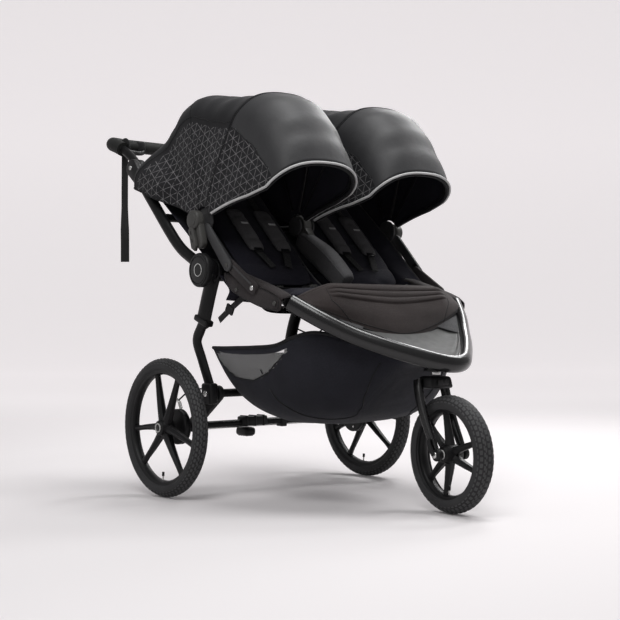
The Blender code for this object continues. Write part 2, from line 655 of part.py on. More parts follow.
for side_name, side_sign in SIDES:
    build_seat_back(side_name, side_sign)
    build_canopy(side_name, side_sign)
    build_brace(side_name, side_sign)
    wheel_axis = joint_empty("rear_wheel_axis_" + side_name, (side_sign * REAR_WHEEL_X, 0, REAR_TYRE_RADIUS), AXLE)
    build_wheel("rear_" + side_name, (side_sign * REAR_WHEEL_X, 0, REAR_TYRE_RADIUS), REAR_TYRE_RADIUS,
                REAR_TYRE_WIDTH, 0.024, 0.046, wheel_axis, 6)

build_front_frame()
build_leg_rest()
build_foot_plate()
build_basket()
build_steering_head()
build_upper_frame()
build_handlebar()
build_rear_frame()
build_axle()
build_fork()
build_wheel("front", (0, FRONT_HUB_Y, FRONT_TYRE_RADIUS), FRONT_TYRE_RADIUS, FRONT_TYRE_WIDTH, 0.022, 0.060,
            FRONT_WHEEL, 20)

STEER.rotation_euler.z = STEER_REST
ROOT.location.y = ORIGIN_Y
bpy.context.view_layer.update()
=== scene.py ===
import json
import math

import bmesh
import bpy
from mathutils import Matrix, Vector, noise

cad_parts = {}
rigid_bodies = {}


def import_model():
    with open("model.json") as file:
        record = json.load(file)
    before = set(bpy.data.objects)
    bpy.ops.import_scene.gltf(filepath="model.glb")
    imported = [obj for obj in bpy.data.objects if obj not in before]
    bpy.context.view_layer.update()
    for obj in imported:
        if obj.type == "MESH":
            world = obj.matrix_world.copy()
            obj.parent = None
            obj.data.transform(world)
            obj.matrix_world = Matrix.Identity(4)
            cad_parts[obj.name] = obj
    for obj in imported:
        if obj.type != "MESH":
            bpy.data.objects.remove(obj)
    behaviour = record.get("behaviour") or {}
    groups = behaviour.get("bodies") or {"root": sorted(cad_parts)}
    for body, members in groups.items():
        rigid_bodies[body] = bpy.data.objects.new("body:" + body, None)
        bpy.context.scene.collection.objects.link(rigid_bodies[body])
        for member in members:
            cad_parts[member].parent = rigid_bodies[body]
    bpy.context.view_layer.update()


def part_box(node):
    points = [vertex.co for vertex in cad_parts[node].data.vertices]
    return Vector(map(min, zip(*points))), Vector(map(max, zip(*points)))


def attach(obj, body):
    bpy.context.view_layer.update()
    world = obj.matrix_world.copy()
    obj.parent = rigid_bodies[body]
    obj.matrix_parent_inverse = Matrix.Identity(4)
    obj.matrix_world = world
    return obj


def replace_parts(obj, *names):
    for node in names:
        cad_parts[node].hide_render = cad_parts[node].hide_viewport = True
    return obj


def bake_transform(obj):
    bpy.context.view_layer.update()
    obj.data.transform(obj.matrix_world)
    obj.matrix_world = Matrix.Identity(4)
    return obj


for leftover in list(bpy.data.objects):
    bpy.data.objects.remove(leftover)
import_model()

# Places below are written from the middle of the rear axle, and P() moves them into the frame.
AXLE_Y = sum(corner[1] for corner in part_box("tyre_rear_right")) / 2
# FOLD, PIVOT, SUSPENSION and HANDLE_PIVOT are (y, z) of the joints on both sides.
FOLD = (-0.181, 0.647)
PIVOT = (-0.148, 0.789)
SUSPENSION = (-0.131, 0.300)
HANDLE_PIVOT = (0.205, 0.972)
REAR_RADIUS = 0.200
FRONT_RADIUS = 0.1545
STEER_Y = -0.705
FRONT_HUB_Y = -0.766
STEER_REST = math.radians(-6.7)
SEAT_X = 0.1675
CANOPY_X = 0.1875
SIDES = (("right", -1), ("left", 1))


def P(x, y, z):
    return Vector((x, y + AXLE_Y, z))


# ---------------------------------------------------------------- camera, light and floor
# Matched to the photo.
CAMERA_PLACE = (-2.346, -3.004, 0.481)
AZIMUTH, ELEVATION, ROLL = math.radians(-39.779), math.radians(0.902), math.radians(-0.227)
LENS = 71.55
# name, place, size, power
LAMPS = (("key", (-2.0, -1.6, 3.4), 1.6, 60), ("top", (0.2, -0.6, 3.4), 1.2, 60),
         ("strip_near", (2.2, 0.9, 2.6), 0.9, 34), ("strip_far", (2.4, -0.5, 2.9), 0.9, 34),
         ("left_card", (-3.2, 1.2, 1.4), 1.4, 12))
LAMP_AIM = Vector((0, 0, 0.6))
BEND_START, BEND_RADIUS = 10, 3
FLOOR_GLOW = {"From Min": -0.5, "From Max": 5.5, "To Min": 0.02, "To Max": 0.60}


def link_to_scene(name, data):
    obj = bpy.data.objects.new(name, data)
    bpy.context.scene.collection.objects.link(obj)
    return obj


def build_camera():
    """The camera that stands where the photo was taken from."""
    data = bpy.data.cameras.new("camera")
    data.lens = LENS
    data.sensor_width = 36
    camera = link_to_scene("camera", data)
    camera.location = P(*CAMERA_PLACE)
    flat = math.cos(ELEVATION)
    look = Vector((-math.sin(AZIMUTH) * flat, math.cos(AZIMUTH) * flat, math.sin(ELEVATION)))
    aim = look.to_track_quat("-Z", "Y").to_matrix() @ Matrix.Rotation(ROLL, 3, "Z")
    camera.rotation_euler = aim.to_euler()
    bpy.context.scene.camera = camera


def floor_material():
    """A matt floor that glows a little more with distance, so that it meets the backdrop evenly."""
    n = Nodes("studio_floor", (0.66, 0.638, 0.645), 0.9)
    n.shader.inputs["Specular IOR Level"].default_value = 0.1
    n.shader.inputs["Emission Color"].default_value = (0.83, 0.80, 0.81, 1)
    glow = n.add("ShaderNodeMapRange")
    glow.interpolation_type = "SMOOTHSTEP"
    for socket, value in FLOOR_GLOW.items():
        glow.inputs[socket].default_value = value
    n.link(n.axes()["Y"], glow, "Value")
    n.link(glow.outputs["Result"], n.shader, "Emission Strength")
    return n.material


def build_floor():
    """The studio floor, which bends up into a wall far behind."""
    bend = [math.pi / 2 * i / 12 for i in range(1, 13)]
    profile = [(-9, 0), (6, 0), (BEND_START, 0)]
    profile += [(BEND_START + BEND_RADIUS * math.sin(a), BEND_RADIUS * (1 - math.cos(a))) for a in bend]
    profile += [(BEND_START + BEND_RADIUS, 14)]
    bm = bmesh.new()
    rows = [[bm.verts.new((x, y, z)) for x in (-16, 16)] for y, z in profile]
    for a, b in zip(rows, rows[1:]):
        bm.faces.new((a[0], a[1], b[1], b[0]))
    mesh = bpy.data.meshes.new("studio_floor")
    bm.to_mesh(mesh)
    bm.free()
    mesh.shade_smooth()
    mesh.materials.append(floor_material())
    floor = link_to_scene("studio_floor", mesh)
    floor.rotation_euler.z = AZIMUTH
    floor.location.z = -0.0005


def build_lights():
    world = bpy.data.worlds.new("studio")
    bpy.context.scene.world = world
    world.use_nodes = True
    background = world.node_tree.nodes["Background"]
    background.inputs["Color"].default_value = (0.90, 0.885, 0.89, 1)
    background.inputs["Strength"].default_value = 0.34
    bpy.context.scene.view_settings.view_transform = "Standard"
    for name, place, size, power in LAMPS:
        data = bpy.data.lights.new(name, "AREA")
        data.energy = power
        data.size = size
        lamp = link_to_scene(name, data)
        lamp.location = place
        lamp.rotation_euler = (LAMP_AIM - Vector(place)).to_track_quat("-Z", "Y").to_euler()


# ---------------------------------------------------------------- materials
class Nodes:
    """A material's node tree, with short calls for the nodes used here."""

    def __init__(self, name, colour, roughness, metallic=0.0):
        self.material = bpy.data.materials.new(name)
        self.material.use_nodes = True
        self.tree = self.material.node_tree
        self.shader = self.tree.nodes["Principled BSDF"]
        self.shader.inputs["Base Color"].default_value = (*colour, 1)
        self.shader.inputs["Roughness"].default_value = roughness
        self.shader.inputs["Metallic"].default_value = metallic
        self.place = self.add("ShaderNodeTexCoord").outputs["Object"]

    def add(self, kind):
        return self.tree.nodes.new(kind)

    def link(self, output, node, socket):
        self.tree.links.new(output, node.inputs[socket])

    def noise(self, scale, detail=3.0):
        node = self.add("ShaderNodeTexNoise")
        node.inputs["Scale"].default_value = scale
        node.inputs["Detail"].default_value = detail
        self.link(self.place, node, "Vector")
        return node.outputs["Fac"]

    def math(self, operation, *values):
        node = self.add("ShaderNodeMath")
        node.operation = operation
        for socket, value in zip(node.inputs, values):
            if isinstance(value, (int, float)):
                socket.default_value = value
            else:
                self.tree.links.new(value, socket)
        return node.outputs[0]

    def axes(self):
        node = self.add("ShaderNodeSeparateXYZ")
        self.link(self.place, node, "Vector")
        return node.outputs

    def mix(self, factor, low, high):
        node = self.add("ShaderNodeMix")
        node.data_type = "RGBA"
        self.tree.links.new(factor, node.inputs["Factor"])
        for value, socket in ((low, "A"), (high, "B")):
            target = [s for s in node.inputs if s.name == socket and s.type == "RGBA"][0]
            if isinstance(value, tuple):
                target.default_value = (*value, 1)
            else:
                self.tree.links.new(value, target)
        return [s for s in node.outputs if s.type == "RGBA"][0]

    def ramp(self, factor, low, high):
        """0 below low, 1 above high."""
        node = self.add("ShaderNodeMapRange")
        node.inputs["From Min"].default_value = low
        node.inputs["From Max"].default_value = high
        self.tree.links.new(factor, node.inputs["Value"])
        return node.outputs[0]

    def bump(self, height, strength, distance, before=None):
        node = self.add("ShaderNodeBump")
        node.inputs["Strength"].default_value = strength
        node.inputs["Distance"].default_value = distance
        self.tree.links.new(height, node.inputs["Height"])
        if before:
            self.tree.links.new(before, node.inputs["Normal"])
        self.tree.links.new(node.outputs[0], self.shader.inputs["Normal"])
        return node.outputs[0]

    def vary(self, colour, amount=0.25, scale=9.0, fine=260.0):
        """Colour that drifts slowly over the surface and a little at a fine scale."""
        slow = self.noise(scale, 2.0)
        quick = self.noise(fine, 2.0)
        both = self.math("ADD", self.math("MULTIPLY", slow, 0.6), self.math("MULTIPLY", quick, 0.4))
        spread = self.ramp(both, 0.35, 0.65)
        low = tuple(c * (1 - amount) for c in colour)
        high = tuple(c * (1 + amount) for c in colour)
        result = self.mix(spread, low, high)
        self.tree.links.new(result, self.shader.inputs["Base Color"])
        return result


def weave_height(n, pitch):
    """A woven thread pattern from three crossing waves, so that it shows on any facing."""
    x, y, z = n.axes()
    turn = 2 * math.pi / pitch
    waves = [n.math("SINE", n.math("MULTIPLY", axis, turn)) for axis in (x, y, z)]
    height = n.math("MULTIPLY", waves[0], waves[1])
    height = n.math("ADD", height, n.math("MULTIPLY", waves[1], waves[2]))
    return n.math("ADD", height, n.math("MULTIPLY", waves[0], waves[2]))


def fabric(name, colour, pitch=0.0016, roughness=0.88, sheen=0.12, bump=0.25, amount=0.22, shine=0.16):
    n = Nodes(name, colour, roughness)
    n.vary(colour, amount)
    n.shader.inputs["Sheen Weight"].default_value = sheen * 0.5
    n.shader.inputs["Sheen Roughness"].default_value = 0.5
    n.shader.inputs["Specular IOR Level"].default_value = shine
    first = n.bump(n.noise(24.0, 3.0), 0.25, 0.004)
    n.bump(weave_height(n, pitch), bump, 0.0003, first)
    return n.material


def plastic(name, colour, roughness=0.42, grain=0.12):
    n = Nodes(name, colour, roughness)
    n.vary(colour, 0.15, 14.0, 500.0)
    rough = n.ramp(n.noise(60.0, 3.0), 0.2, 0.8)
    spread = n.add("ShaderNodeMapRange")
    n.link(rough, spread, "Value")
    spread.inputs["To Min"].default_value = roughness - 0.06
    spread.inputs["To Max"].default_value = roughness + 0.10
    n.link(spread.outputs[0], n.shader, "Roughness")
    n.shader.inputs["Specular IOR Level"].default_value = 0.24
    n.bump(n.noise(1400.0, 2.0), grain, 0.0002)
    return n.material


def paint(name, colour, roughness=0.28, coat=0.30, shine=0.35):
    n = Nodes(name, colour, roughness)
    n.vary(colour, 0.12, 6.0, 900.0)
    n.shader.inputs["Coat Weight"].default_value = coat
    n.shader.inputs["Specular IOR Level"].default_value = shine
    n.shader.inputs["Coat Roughness"].default_value = 0.18
    n.bump(n.noise(900.0, 2.0), 0.06, 0.0002)
    return n.material


def metal(name, colour, roughness=0.3):
    n = Nodes(name, colour, roughness, 1.0)
    n.vary(colour, 0.08, 20.0, 700.0)
    n.bump(n.noise(700.0, 2.0), 0.05, 0.0002)
    return n.material


def rubber(name, colour):
    n = Nodes(name, colour, 0.72)
    n.vary(colour, 0.22, 12.0, 600.0)
    n.shader.inputs["Specular IOR Level"].default_value = 0.25
    n.bump(n.noise(900.0, 3.0), 0.2, 0.0003)
    return n.material


# Distance between the lines of the triangular print.
PRINT_PITCH = 0.0235


def lattice_canopy(name, colour):
    """Canopy cloth whose flat sides carry a fine triangular reflective print."""
    n = Nodes(name, colour, 0.85)
    base = n.vary(colour, 0.18)
    _, y, z = n.axes()
    geometry = n.add("ShaderNodeNewGeometry")
    facing = n.add("ShaderNodeSeparateXYZ")
    n.link(geometry.outputs["Normal"], facing, "Vector")
    side = n.ramp(n.math("ABSOLUTE", facing.outputs[0]), 0.55, 0.72)
    lines = None
    for angle, shift in ((12, 0.0), (72, 0.5), (132, 0.5)):
        along_y = math.cos(math.radians(angle)) / PRINT_PITCH
        along_z = math.sin(math.radians(angle)) / PRINT_PITCH
        across = n.math("ADD", n.math("MULTIPLY", y, along_y), n.math("MULTIPLY", z, along_z))
        across = n.math("ADD", across, shift)
        nearest = n.math("ABSOLUTE", n.math("SUBTRACT", n.math("FRACT", across), 0.5))
        line = n.ramp(nearest, 0.452, 0.478)
        lines = line if lines is None else n.math("MAXIMUM", lines, line)
    broken = n.ramp(n.noise(120.0, 2.0), 0.30, 0.55)
    printed = n.math("MULTIPLY", n.math("MULTIPLY", lines, side), n.math("MULTIPLY", broken, 0.75))
    n.link(n.mix(printed, base, (0.190, 0.185, 0.190)), n.shader, "Base Color")
    n.shader.inputs["Sheen Weight"].default_value = 0.05
    n.shader.inputs["Specular IOR Level"].default_value = 0.14
    first = n.bump(n.noise(20.0, 3.0), 0.22, 0.005)
    n.bump(weave_height(n, 0.0017), 0.2, 0.0003, first)
    return n.material


def net_cloth(name, colour):
    """A thin see-through net."""
    n = Nodes(name, colour, 0.8)
    n.vary(colour, 0.1)
    n.shader.inputs["Alpha"].default_value = 0.20
    n.bump(weave_height(n, 0.0020), 0.4, 0.0003)
    return n.material


CANOPY_CLOTH = lattice_canopy("canopy_print_cloth", (0.0125, 0.0125, 0.0140))
VISOR_CLOTH = fabric("visor_cloth", (0.0180, 0.0180, 0.0196), 0.0017, 0.54, 0.10, 0.06, 0.10, 0.30)
PLAIN_CLOTH = fabric("canopy_plain_cloth", (0.0090, 0.0090, 0.0102), 0.0017, 0.70, 0.08, 0.10, 0.12, 0.16)
LINING = fabric("canopy_lining", (0.0105, 0.0100, 0.0155), 0.0017, 0.85, 0.08)
SEAT_CLOTH = fabric("seat_cloth", (0.0110, 0.0105, 0.0165), 0.0019, 0.88, 0.12, 0.3)
PAD_CLOTH = fabric("pad_cloth", (0.0720, 0.0710, 0.0740), 0.0016, 0.72, 0.14, 0.3)
PANEL_CLOTH = fabric("panel_cloth", (0.0250, 0.0195, 0.0190), 0.0022, 0.85, 0.16, 0.35)
COVER_CLOTH = fabric("cover_cloth", (0.0260, 0.0220, 0.0225), 0.0020, 0.82, 0.14, 0.3)
BASKET_CLOTH = fabric("basket_cloth", (0.0125, 0.0128, 0.0175), 0.0024, 0.85, 0.12, 0.35)
GUSSET_CLOTH = fabric("foot_gusset_cloth", (0.050, 0.050, 0.052), 0.0030, 0.85, 0.1, 0.5, 0.45)
NET = net_cloth("basket_net", (0.45, 0.45, 0.45))
PIPING = fabric("reflective_piping", (0.42, 0.42, 0.42), 0.0012, 0.45, 0.0, 0.2, 0.1)
BINDING = fabric("binding_tape", (0.010, 0.010, 0.011), 0.0010, 0.8, 0.1, 0.4)
WEBBING = fabric("webbing_tape", (0.016, 0.016, 0.0168), 0.0013, 0.75, 0.12, 0.6)
PAINT = paint("gloss_black_tube", (0.0060, 0.0060, 0.0064), 0.24)
SATIN_PAINT = paint("satin_black_tube", (0.0060, 0.0060, 0.0064), 0.42, 0.04, 0.13)
PLASTIC = plastic("black_moulded_plastic", (0.0062, 0.0062, 0.0068))
SMOOTH_PLASTIC = plastic("smooth_black_plastic", (0.0180, 0.0180, 0.0185), 0.30, 0.05)
GREY = plastic("grey_moulded_plastic", (0.0480, 0.0475, 0.0450), 0.40)
DARK_GREY = plastic("dark_grey_sleeve", (0.0400, 0.0400, 0.0415), 0.50, 0.25)
TRAY_GREY = plastic("foot_tray_grey", (0.0560, 0.0560, 0.0555), 0.62)
# Lighter and darker copies of the tyre rubber: painted light on the tread block tops, painted shade in the
# grooves.
TYRE_BLOCK_LIT = rubber("tyre_block_painted_light", (0.0500, 0.0500, 0.0515))
TYRE_GROOVE_SHADE = rubber("tyre_groove_painted_shade", (0.0180, 0.0180, 0.0188))
TYRE = rubber("tyre_rubber", (0.0280, 0.0280, 0.0292))
FOAM = rubber("foam_grip", (0.0100, 0.0105, 0.0100))
BRIGHT = metal("bright_steel", (0.62, 0.62, 0.61), 0.26)
WHITE_RING = plastic("white_cap_ring", (0.55, 0.55, 0.54), 0.35)
CABLE = plastic("cable_sleeve", (0.010, 0.010, 0.010), 0.45, 0.05)


# ---------------------------------------------------------------- shapes
def mesh_piece(name, bm, material, body, smooth=40):
    bmesh.ops.recalc_face_normals(bm, faces=bm.faces)
    mesh = bpy.data.meshes.new(name)
    bm.to_mesh(mesh)
    bm.free()
    mesh.materials.append(material)
    obj = link_to_scene(name, mesh)
    mesh.shade_smooth()
    if smooth:
        mesh.set_sharp_from_angle(angle=math.radians(smooth))
    if body:
        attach(obj, body)
    return obj


def curved(points, per_span=8):
    """Points of a Catmull-Rom curve through the given ones."""
    points = [Vector(p) for p in points]
    ends = [2 * points[0] - points[1]] + points + [2 * points[-1] - points[-2]]
    path = []
    for a, b, c, d in zip(ends, ends[1:], ends[2:], ends[3:]):
        for step in range(per_span):
            t = step / per_span
            path.append(0.5 * (2 * b + (c - a) * t + (2 * a - 5 * b + 4 * c - d) * t * t
                               + (3 * b - a - 3 * c + d) * t ** 3))
    return path + [points[-1]]


def route(points, side=1, per_span=8):
    """A smooth path through places written from the rear axle, mirrored by side."""
    return [P(side * x, y, z) for x, y, z in curved(points, per_span)]


def both_sides(half):
    """A line from one end to the middle, carried on to the other end."""
    return list(half) + [(-x, y, z) for x, y, z in reversed(half[:-1])]


def path_length(path):
    """The length of a line of places."""
    return sum((b - a).length for a, b in zip(path, path[1:]))


def skin(bm, rings, capped=True):
    """Faces between closed rings of vertices, with the first and the last ring filled."""
    size = len(rings[0])
    for a, b in zip(rings, rings[1:]):
        for i in range(size):
            j = (i + 1) % size
            bm.faces.new((a[i], a[j], b[j], b[i]))
    if capped:
        bm.faces.new(rings[0][::-1])
        bm.faces.new(rings[-1])


def section_round(width, height, sides=20):
    return [(0.5 * width * math.cos(2 * math.pi * i / sides),
             0.5 * height * math.sin(2 * math.pi * i / sides))
            for i in range(sides)]


def section_box(width, height, radius, steps=3):
    """A rectangle with round corners."""
    points = []
    for corner, (sx, sy) in enumerate(((1, 1), (-1, 1), (-1, -1), (1, -1))):
        for i in range(steps + 1):
            a = math.pi / 2 * (corner + i / steps)
            points.append((sx * (width / 2 - radius) + radius * math.cos(a),
                           sy * (height / 2 - radius) + radius * math.sin(a)))
    return points


def swept(name, path, section, material, body, up=(0, 0, 1), scales=None, smooth=40):
    """A section carried along a path with its height kept towards up."""
    up = Vector(up)
    bm = bmesh.new()
    rings = []
    count = len(path)
    for i, point in enumerate(path):
        ahead = path[min(i + 1, count - 1)] - path[max(i - 1, 0)]
        ahead.normalize()
        side = ahead.cross(up)
        side.normalize()
        lift = side.cross(ahead)
        scale = scales[i] if scales else 1
        if not isinstance(scale, tuple):
            scale = (scale, scale)
        rings.append([bm.verts.new(point + side * x * scale[0] + lift * z * scale[1]) for x, z in section])
    skin(bm, rings)
    return mesh_piece(name, bm, material, body, smooth)


def wire(name, path, radius, material, body, sides=10):
    """A round wire along a path."""
    straight = (path[-1] - path[0]).normalized()
    up = (1, 0, 0) if abs(straight.z) > 0.8 or abs(straight.x) < 0.3 else (0, 0, 1)
    return swept(name, path, section_round(2 * radius, 2 * radius, sides), material, body, up, smooth=60)


def lathe(name, centre, profile, material, body, steps=64, axis_turn=0.0):
    """A closed profile of (radius, x) points turned about an X axis through centre."""
    bm = bmesh.new()
    rings = []
    for k in range(steps):
        a = 2 * math.pi * k / steps
        rings.append([bm.verts.new((x, r * math.cos(a), r * math.sin(a))) for r, x in profile])
    skin(bm, rings + rings[:1], capped=False)
    place_in(bm, centre, axis_turn)
    return mesh_piece(name, bm, material, body, 35)


def flat_ring(inner, outer, half, back=None):
    """The profile of a washer, for lathe()."""
    back = half if back is None else back
    return [(inner, half), (outer, half), (outer, -back), (inner, -back)]


def place_in(bm, centre, turn_z=0.0):
    """Turns a mesh about Z and moves it to its centre."""
    matrix = Matrix.Translation(centre) @ Matrix.Rotation(turn_z, 4, "Z")
    bmesh.ops.transform(bm, matrix=matrix, verts=bm.verts)


def disc(name, centre, radius, length, material, body, edge=0.002, sides=48, turn_z=0.0, axis="X"):
    """A round slab with a rolled edge on an X axis, or on Z."""
    bm = bmesh.new()
    bmesh.ops.create_cone(bm, cap_ends=True, segments=sides, radius1=radius, radius2=radius, depth=length)
    rims = [e for e in bm.edges if abs(e.verts[0].co.z - e.verts[1].co.z) < 1e-6]
    bmesh.ops.bevel(bm, geom=rims, offset=edge, segments=3, affect="EDGES", profile=0.5)
    if axis == "X":
        bmesh.ops.transform(bm, matrix=Matrix.Rotation(math.pi / 2, 4, "Y"), verts=bm.verts)
    place_in(bm, centre, turn_z)
    return mesh_piece(name, bm, material, body, 35)


def slab(name, outline, x, thickness, material, body, edge=0.002):
    """A flat (y, z) outline standing at x, with rolled edges."""
    bm = bmesh.new()
    front = [bm.verts.new(P(x - thickness / 2, y, z)) for y, z in outline]
    face = bm.faces.new(front)
    made = bmesh.ops.extrude_face_region(bm, geom=[face])
    verts = [v for v in made["geom"] if isinstance(v, bmesh.types.BMVert)]
    bmesh.ops.translate(bm, vec=(thickness, 0, 0), verts=verts)
    rims = [e for e in bm.edges if abs(e.verts[0].co.x - e.verts[1].co.x) < 1e-6]
    bmesh.ops.bevel(bm, geom=rims, offset=edge, segments=2, affect="EDGES", profile=0.5)
    return mesh_piece(name, bm, material, body, 35)


def block(name, centre, size, material, body, edge=0.004, tilt=0.0, taper=1.0, turn_z=0.0):
    """A box with rolled edges, tilted about X and then turned about Z."""
    bm = bmesh.new()
    bmesh.ops.create_cube(bm, size=1)
    for vert in bm.verts:
        if vert.co.z > 0:
            vert.co.x *= taper
            vert.co.y *= taper
    matrix = Matrix.Rotation(turn_z, 4, "Z") @ Matrix.Rotation(tilt, 4, "X") @ Matrix.Diagonal((*size, 1))
    bmesh.ops.transform(bm, matrix=Matrix.Translation(centre) @ matrix, verts=bm.verts)
    bmesh.ops.bevel(bm, geom=bm.edges[:], offset=edge, segments=3, affect="EDGES", profile=0.5)
    return mesh_piece(name, bm, material, body, 35)


def arm_outline(start, end, radius_start, radius_end, steps=12):
    """The (y, z) outline of a link between two round ends."""
    start, end = Vector(start), Vector(end)
    along = math.atan2(end.y - start.y, end.x - start.x)
    outline = []
    for centre, radius, first in ((start, radius_start, math.pi / 2), (end, radius_end, -math.pi / 2)):
        for i in range(steps + 1):
            a = along + first + math.pi * i / steps
            outline.append((centre.x + radius * math.cos(a), centre.y + radius * math.sin(a)))
    return outline


def rivet(name, place, side, body, radius=0.0055, material=BRIGHT):
    return disc(name, place + Vector((side * 0.0015, 0, 0)), radius, 0.004, material, body, 0.0015, 24)


def grid_piece(name, rows, material, body, thickness, smooth=60):
    """A sheet of cloth through rows of points."""
    bm = bmesh.new()
    made = [[bm.verts.new(p) for p in row] for row in rows]
    for a, b in zip(made, made[1:]):
        for i in range(len(a) - 1):
            bm.faces.new((a[i], a[i + 1], b[i + 1], b[i]))
    obj = mesh_piece(name, bm, material, None, smooth)
    thicken(obj, thickness)
    if body:
        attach(obj, body)
    return obj


def thicken(obj, thickness, offset=0):
    """Gives an open sheet its thickness: offset 0 is on both sides, -1 is behind it."""
    solid = obj.modifiers.new("cloth", "SOLIDIFY")
    solid.thickness = thickness
    solid.offset = offset
    apply_modifiers(obj)


def apply_modifiers(obj):
    graph = bpy.context.evaluated_depsgraph_get()
    mesh = bpy.data.meshes.new_from_object(obj.evaluated_get(graph))
    obj.modifiers.clear()
    obj.data = mesh


# ---------------------------------------------------------------- wheels
# Where the tread blocks and the side blocks end, from 0 at the middle of the tread to 1 at the wall.
TREAD_EDGE, SHOULDER_EDGE = 0.62, 0.78
HUB_RADIUS, REAR_HUB_HALF, FRONT_HUB_HALF = 0.026, 0.0235, 0.030
REAR_WHEEL_X = 0.391
VALVE_ANGLE = math.radians(-86)
SPOKE_SPREAD = math.radians(26), math.radians(20)


def tyre(name, centre, radius, width, body, turn_z=0.0):
    """A round tyre with a block tread, side ribs and a bead, made ring by ring; the block tops carry painted
    light and the grooves painted shade.
    """
    half = width / 2
    mid = radius - half
    bead = radius - 0.036
    steps = 216 if radius > 0.18 else 168
    arc = 22
    wall = [(bead, half * 0.50), (bead + 0.002, half * 0.66), (mid - half * 0.38, half * 0.90),
            (mid - half * 0.30, half * 0.955)]
    turns = [math.pi * i / arc for i in range(arc + 1)]
    crown = [(mid + half * math.sin(a), half * math.cos(a)) for a in turns]
    profile = wall + crown + [(r, -x) for r, x in reversed(wall)]

    def off_centre(i):
        """0 at the middle of the tread, 1 where it meets the side wall."""
        return abs(i - len(wall) - arc / 2) / (arc / 2)

    def in_groove(i, k):
        band = i - len(wall)
        return band % 3 == 0 or (k + band // 2) % 3 == 0

    bm = bmesh.new()
    rings = []
    for k in range(steps):
        a = 2 * math.pi * k / steps
        ring = []
        for i, (r, x) in enumerate(profile):
            depth = 0.0
            if off_centre(i) < TREAD_EDGE:
                depth = 0.0016 if in_groove(i, k) else 0.0
            elif off_centre(i) < SHOULDER_EDGE:
                depth = 0.0010 if k % 3 == 0 else 0.0
            elif 0.86 < off_centre(i) < 0.93:
                depth = -0.0004
            r -= depth
            ring.append(bm.verts.new((x * (1 - depth * 12), r * math.cos(a), r * math.sin(a))))
        rings.append(ring)
    for k, (ring, after) in enumerate(zip(rings, rings[1:] + rings[:1])):
        for i in range(len(profile)):
            j = (i + 1) % len(profile)
            face = bm.faces.new((ring[i], ring[j], after[j], after[i]))
            # Tread block tops get the lighter rubber as painted light, the grooves the darker rubber as
            # painted shade.
            if off_centre(i) < SHOULDER_EDGE:
                face.material_index = 2 if in_groove(i, k) else 1
    place_in(bm, centre, turn_z)
    made = mesh_piece(name, bm, TYRE, body, 24)
    made.data.materials.append(TYRE_BLOCK_LIT)
    made.data.materials.append(TYRE_GROOVE_SHADE)
    return made


def spoke_mesh(bm, angle, foot, tip_angle, tip, widths, depths):
    """One bowed spoke, wider at both ends, from the hub out to the rim."""
    sections = []
    for t in (0.0, 0.12, 0.3, 0.55, 0.8, 0.94, 1.0):
        radius = foot + (tip - foot) * t
        swing = angle + (tip_angle - angle) * (1 - (1 - t) ** 1.6)
        centre = Vector((0.0, radius * math.cos(swing), radius * math.sin(swing)))
        flare = 1 + 0.55 * max(0, (t - 0.85) / 0.15) + 0.5 * max(0, (0.15 - t) / 0.15)
        width = (widths[0] + (widths[1] - widths[0]) * t) * flare
        depth = depths[0] + (depths[1] - depths[0]) * t
        across = Vector((0, -math.sin(swing), math.cos(swing)))
        sections.append([bm.verts.new(centre + across * width * y + Vector((depth * x, 0, 0)))
                         for x, y in ((0.5, -0.16), (0.5, 0.16), (0.22, 0.5), (-0.22, 0.5),
                                      (-0.5, 0.16), (-0.5, -0.16), (-0.22, -0.5), (0.22, -0.5))])
    skin(bm, sections)


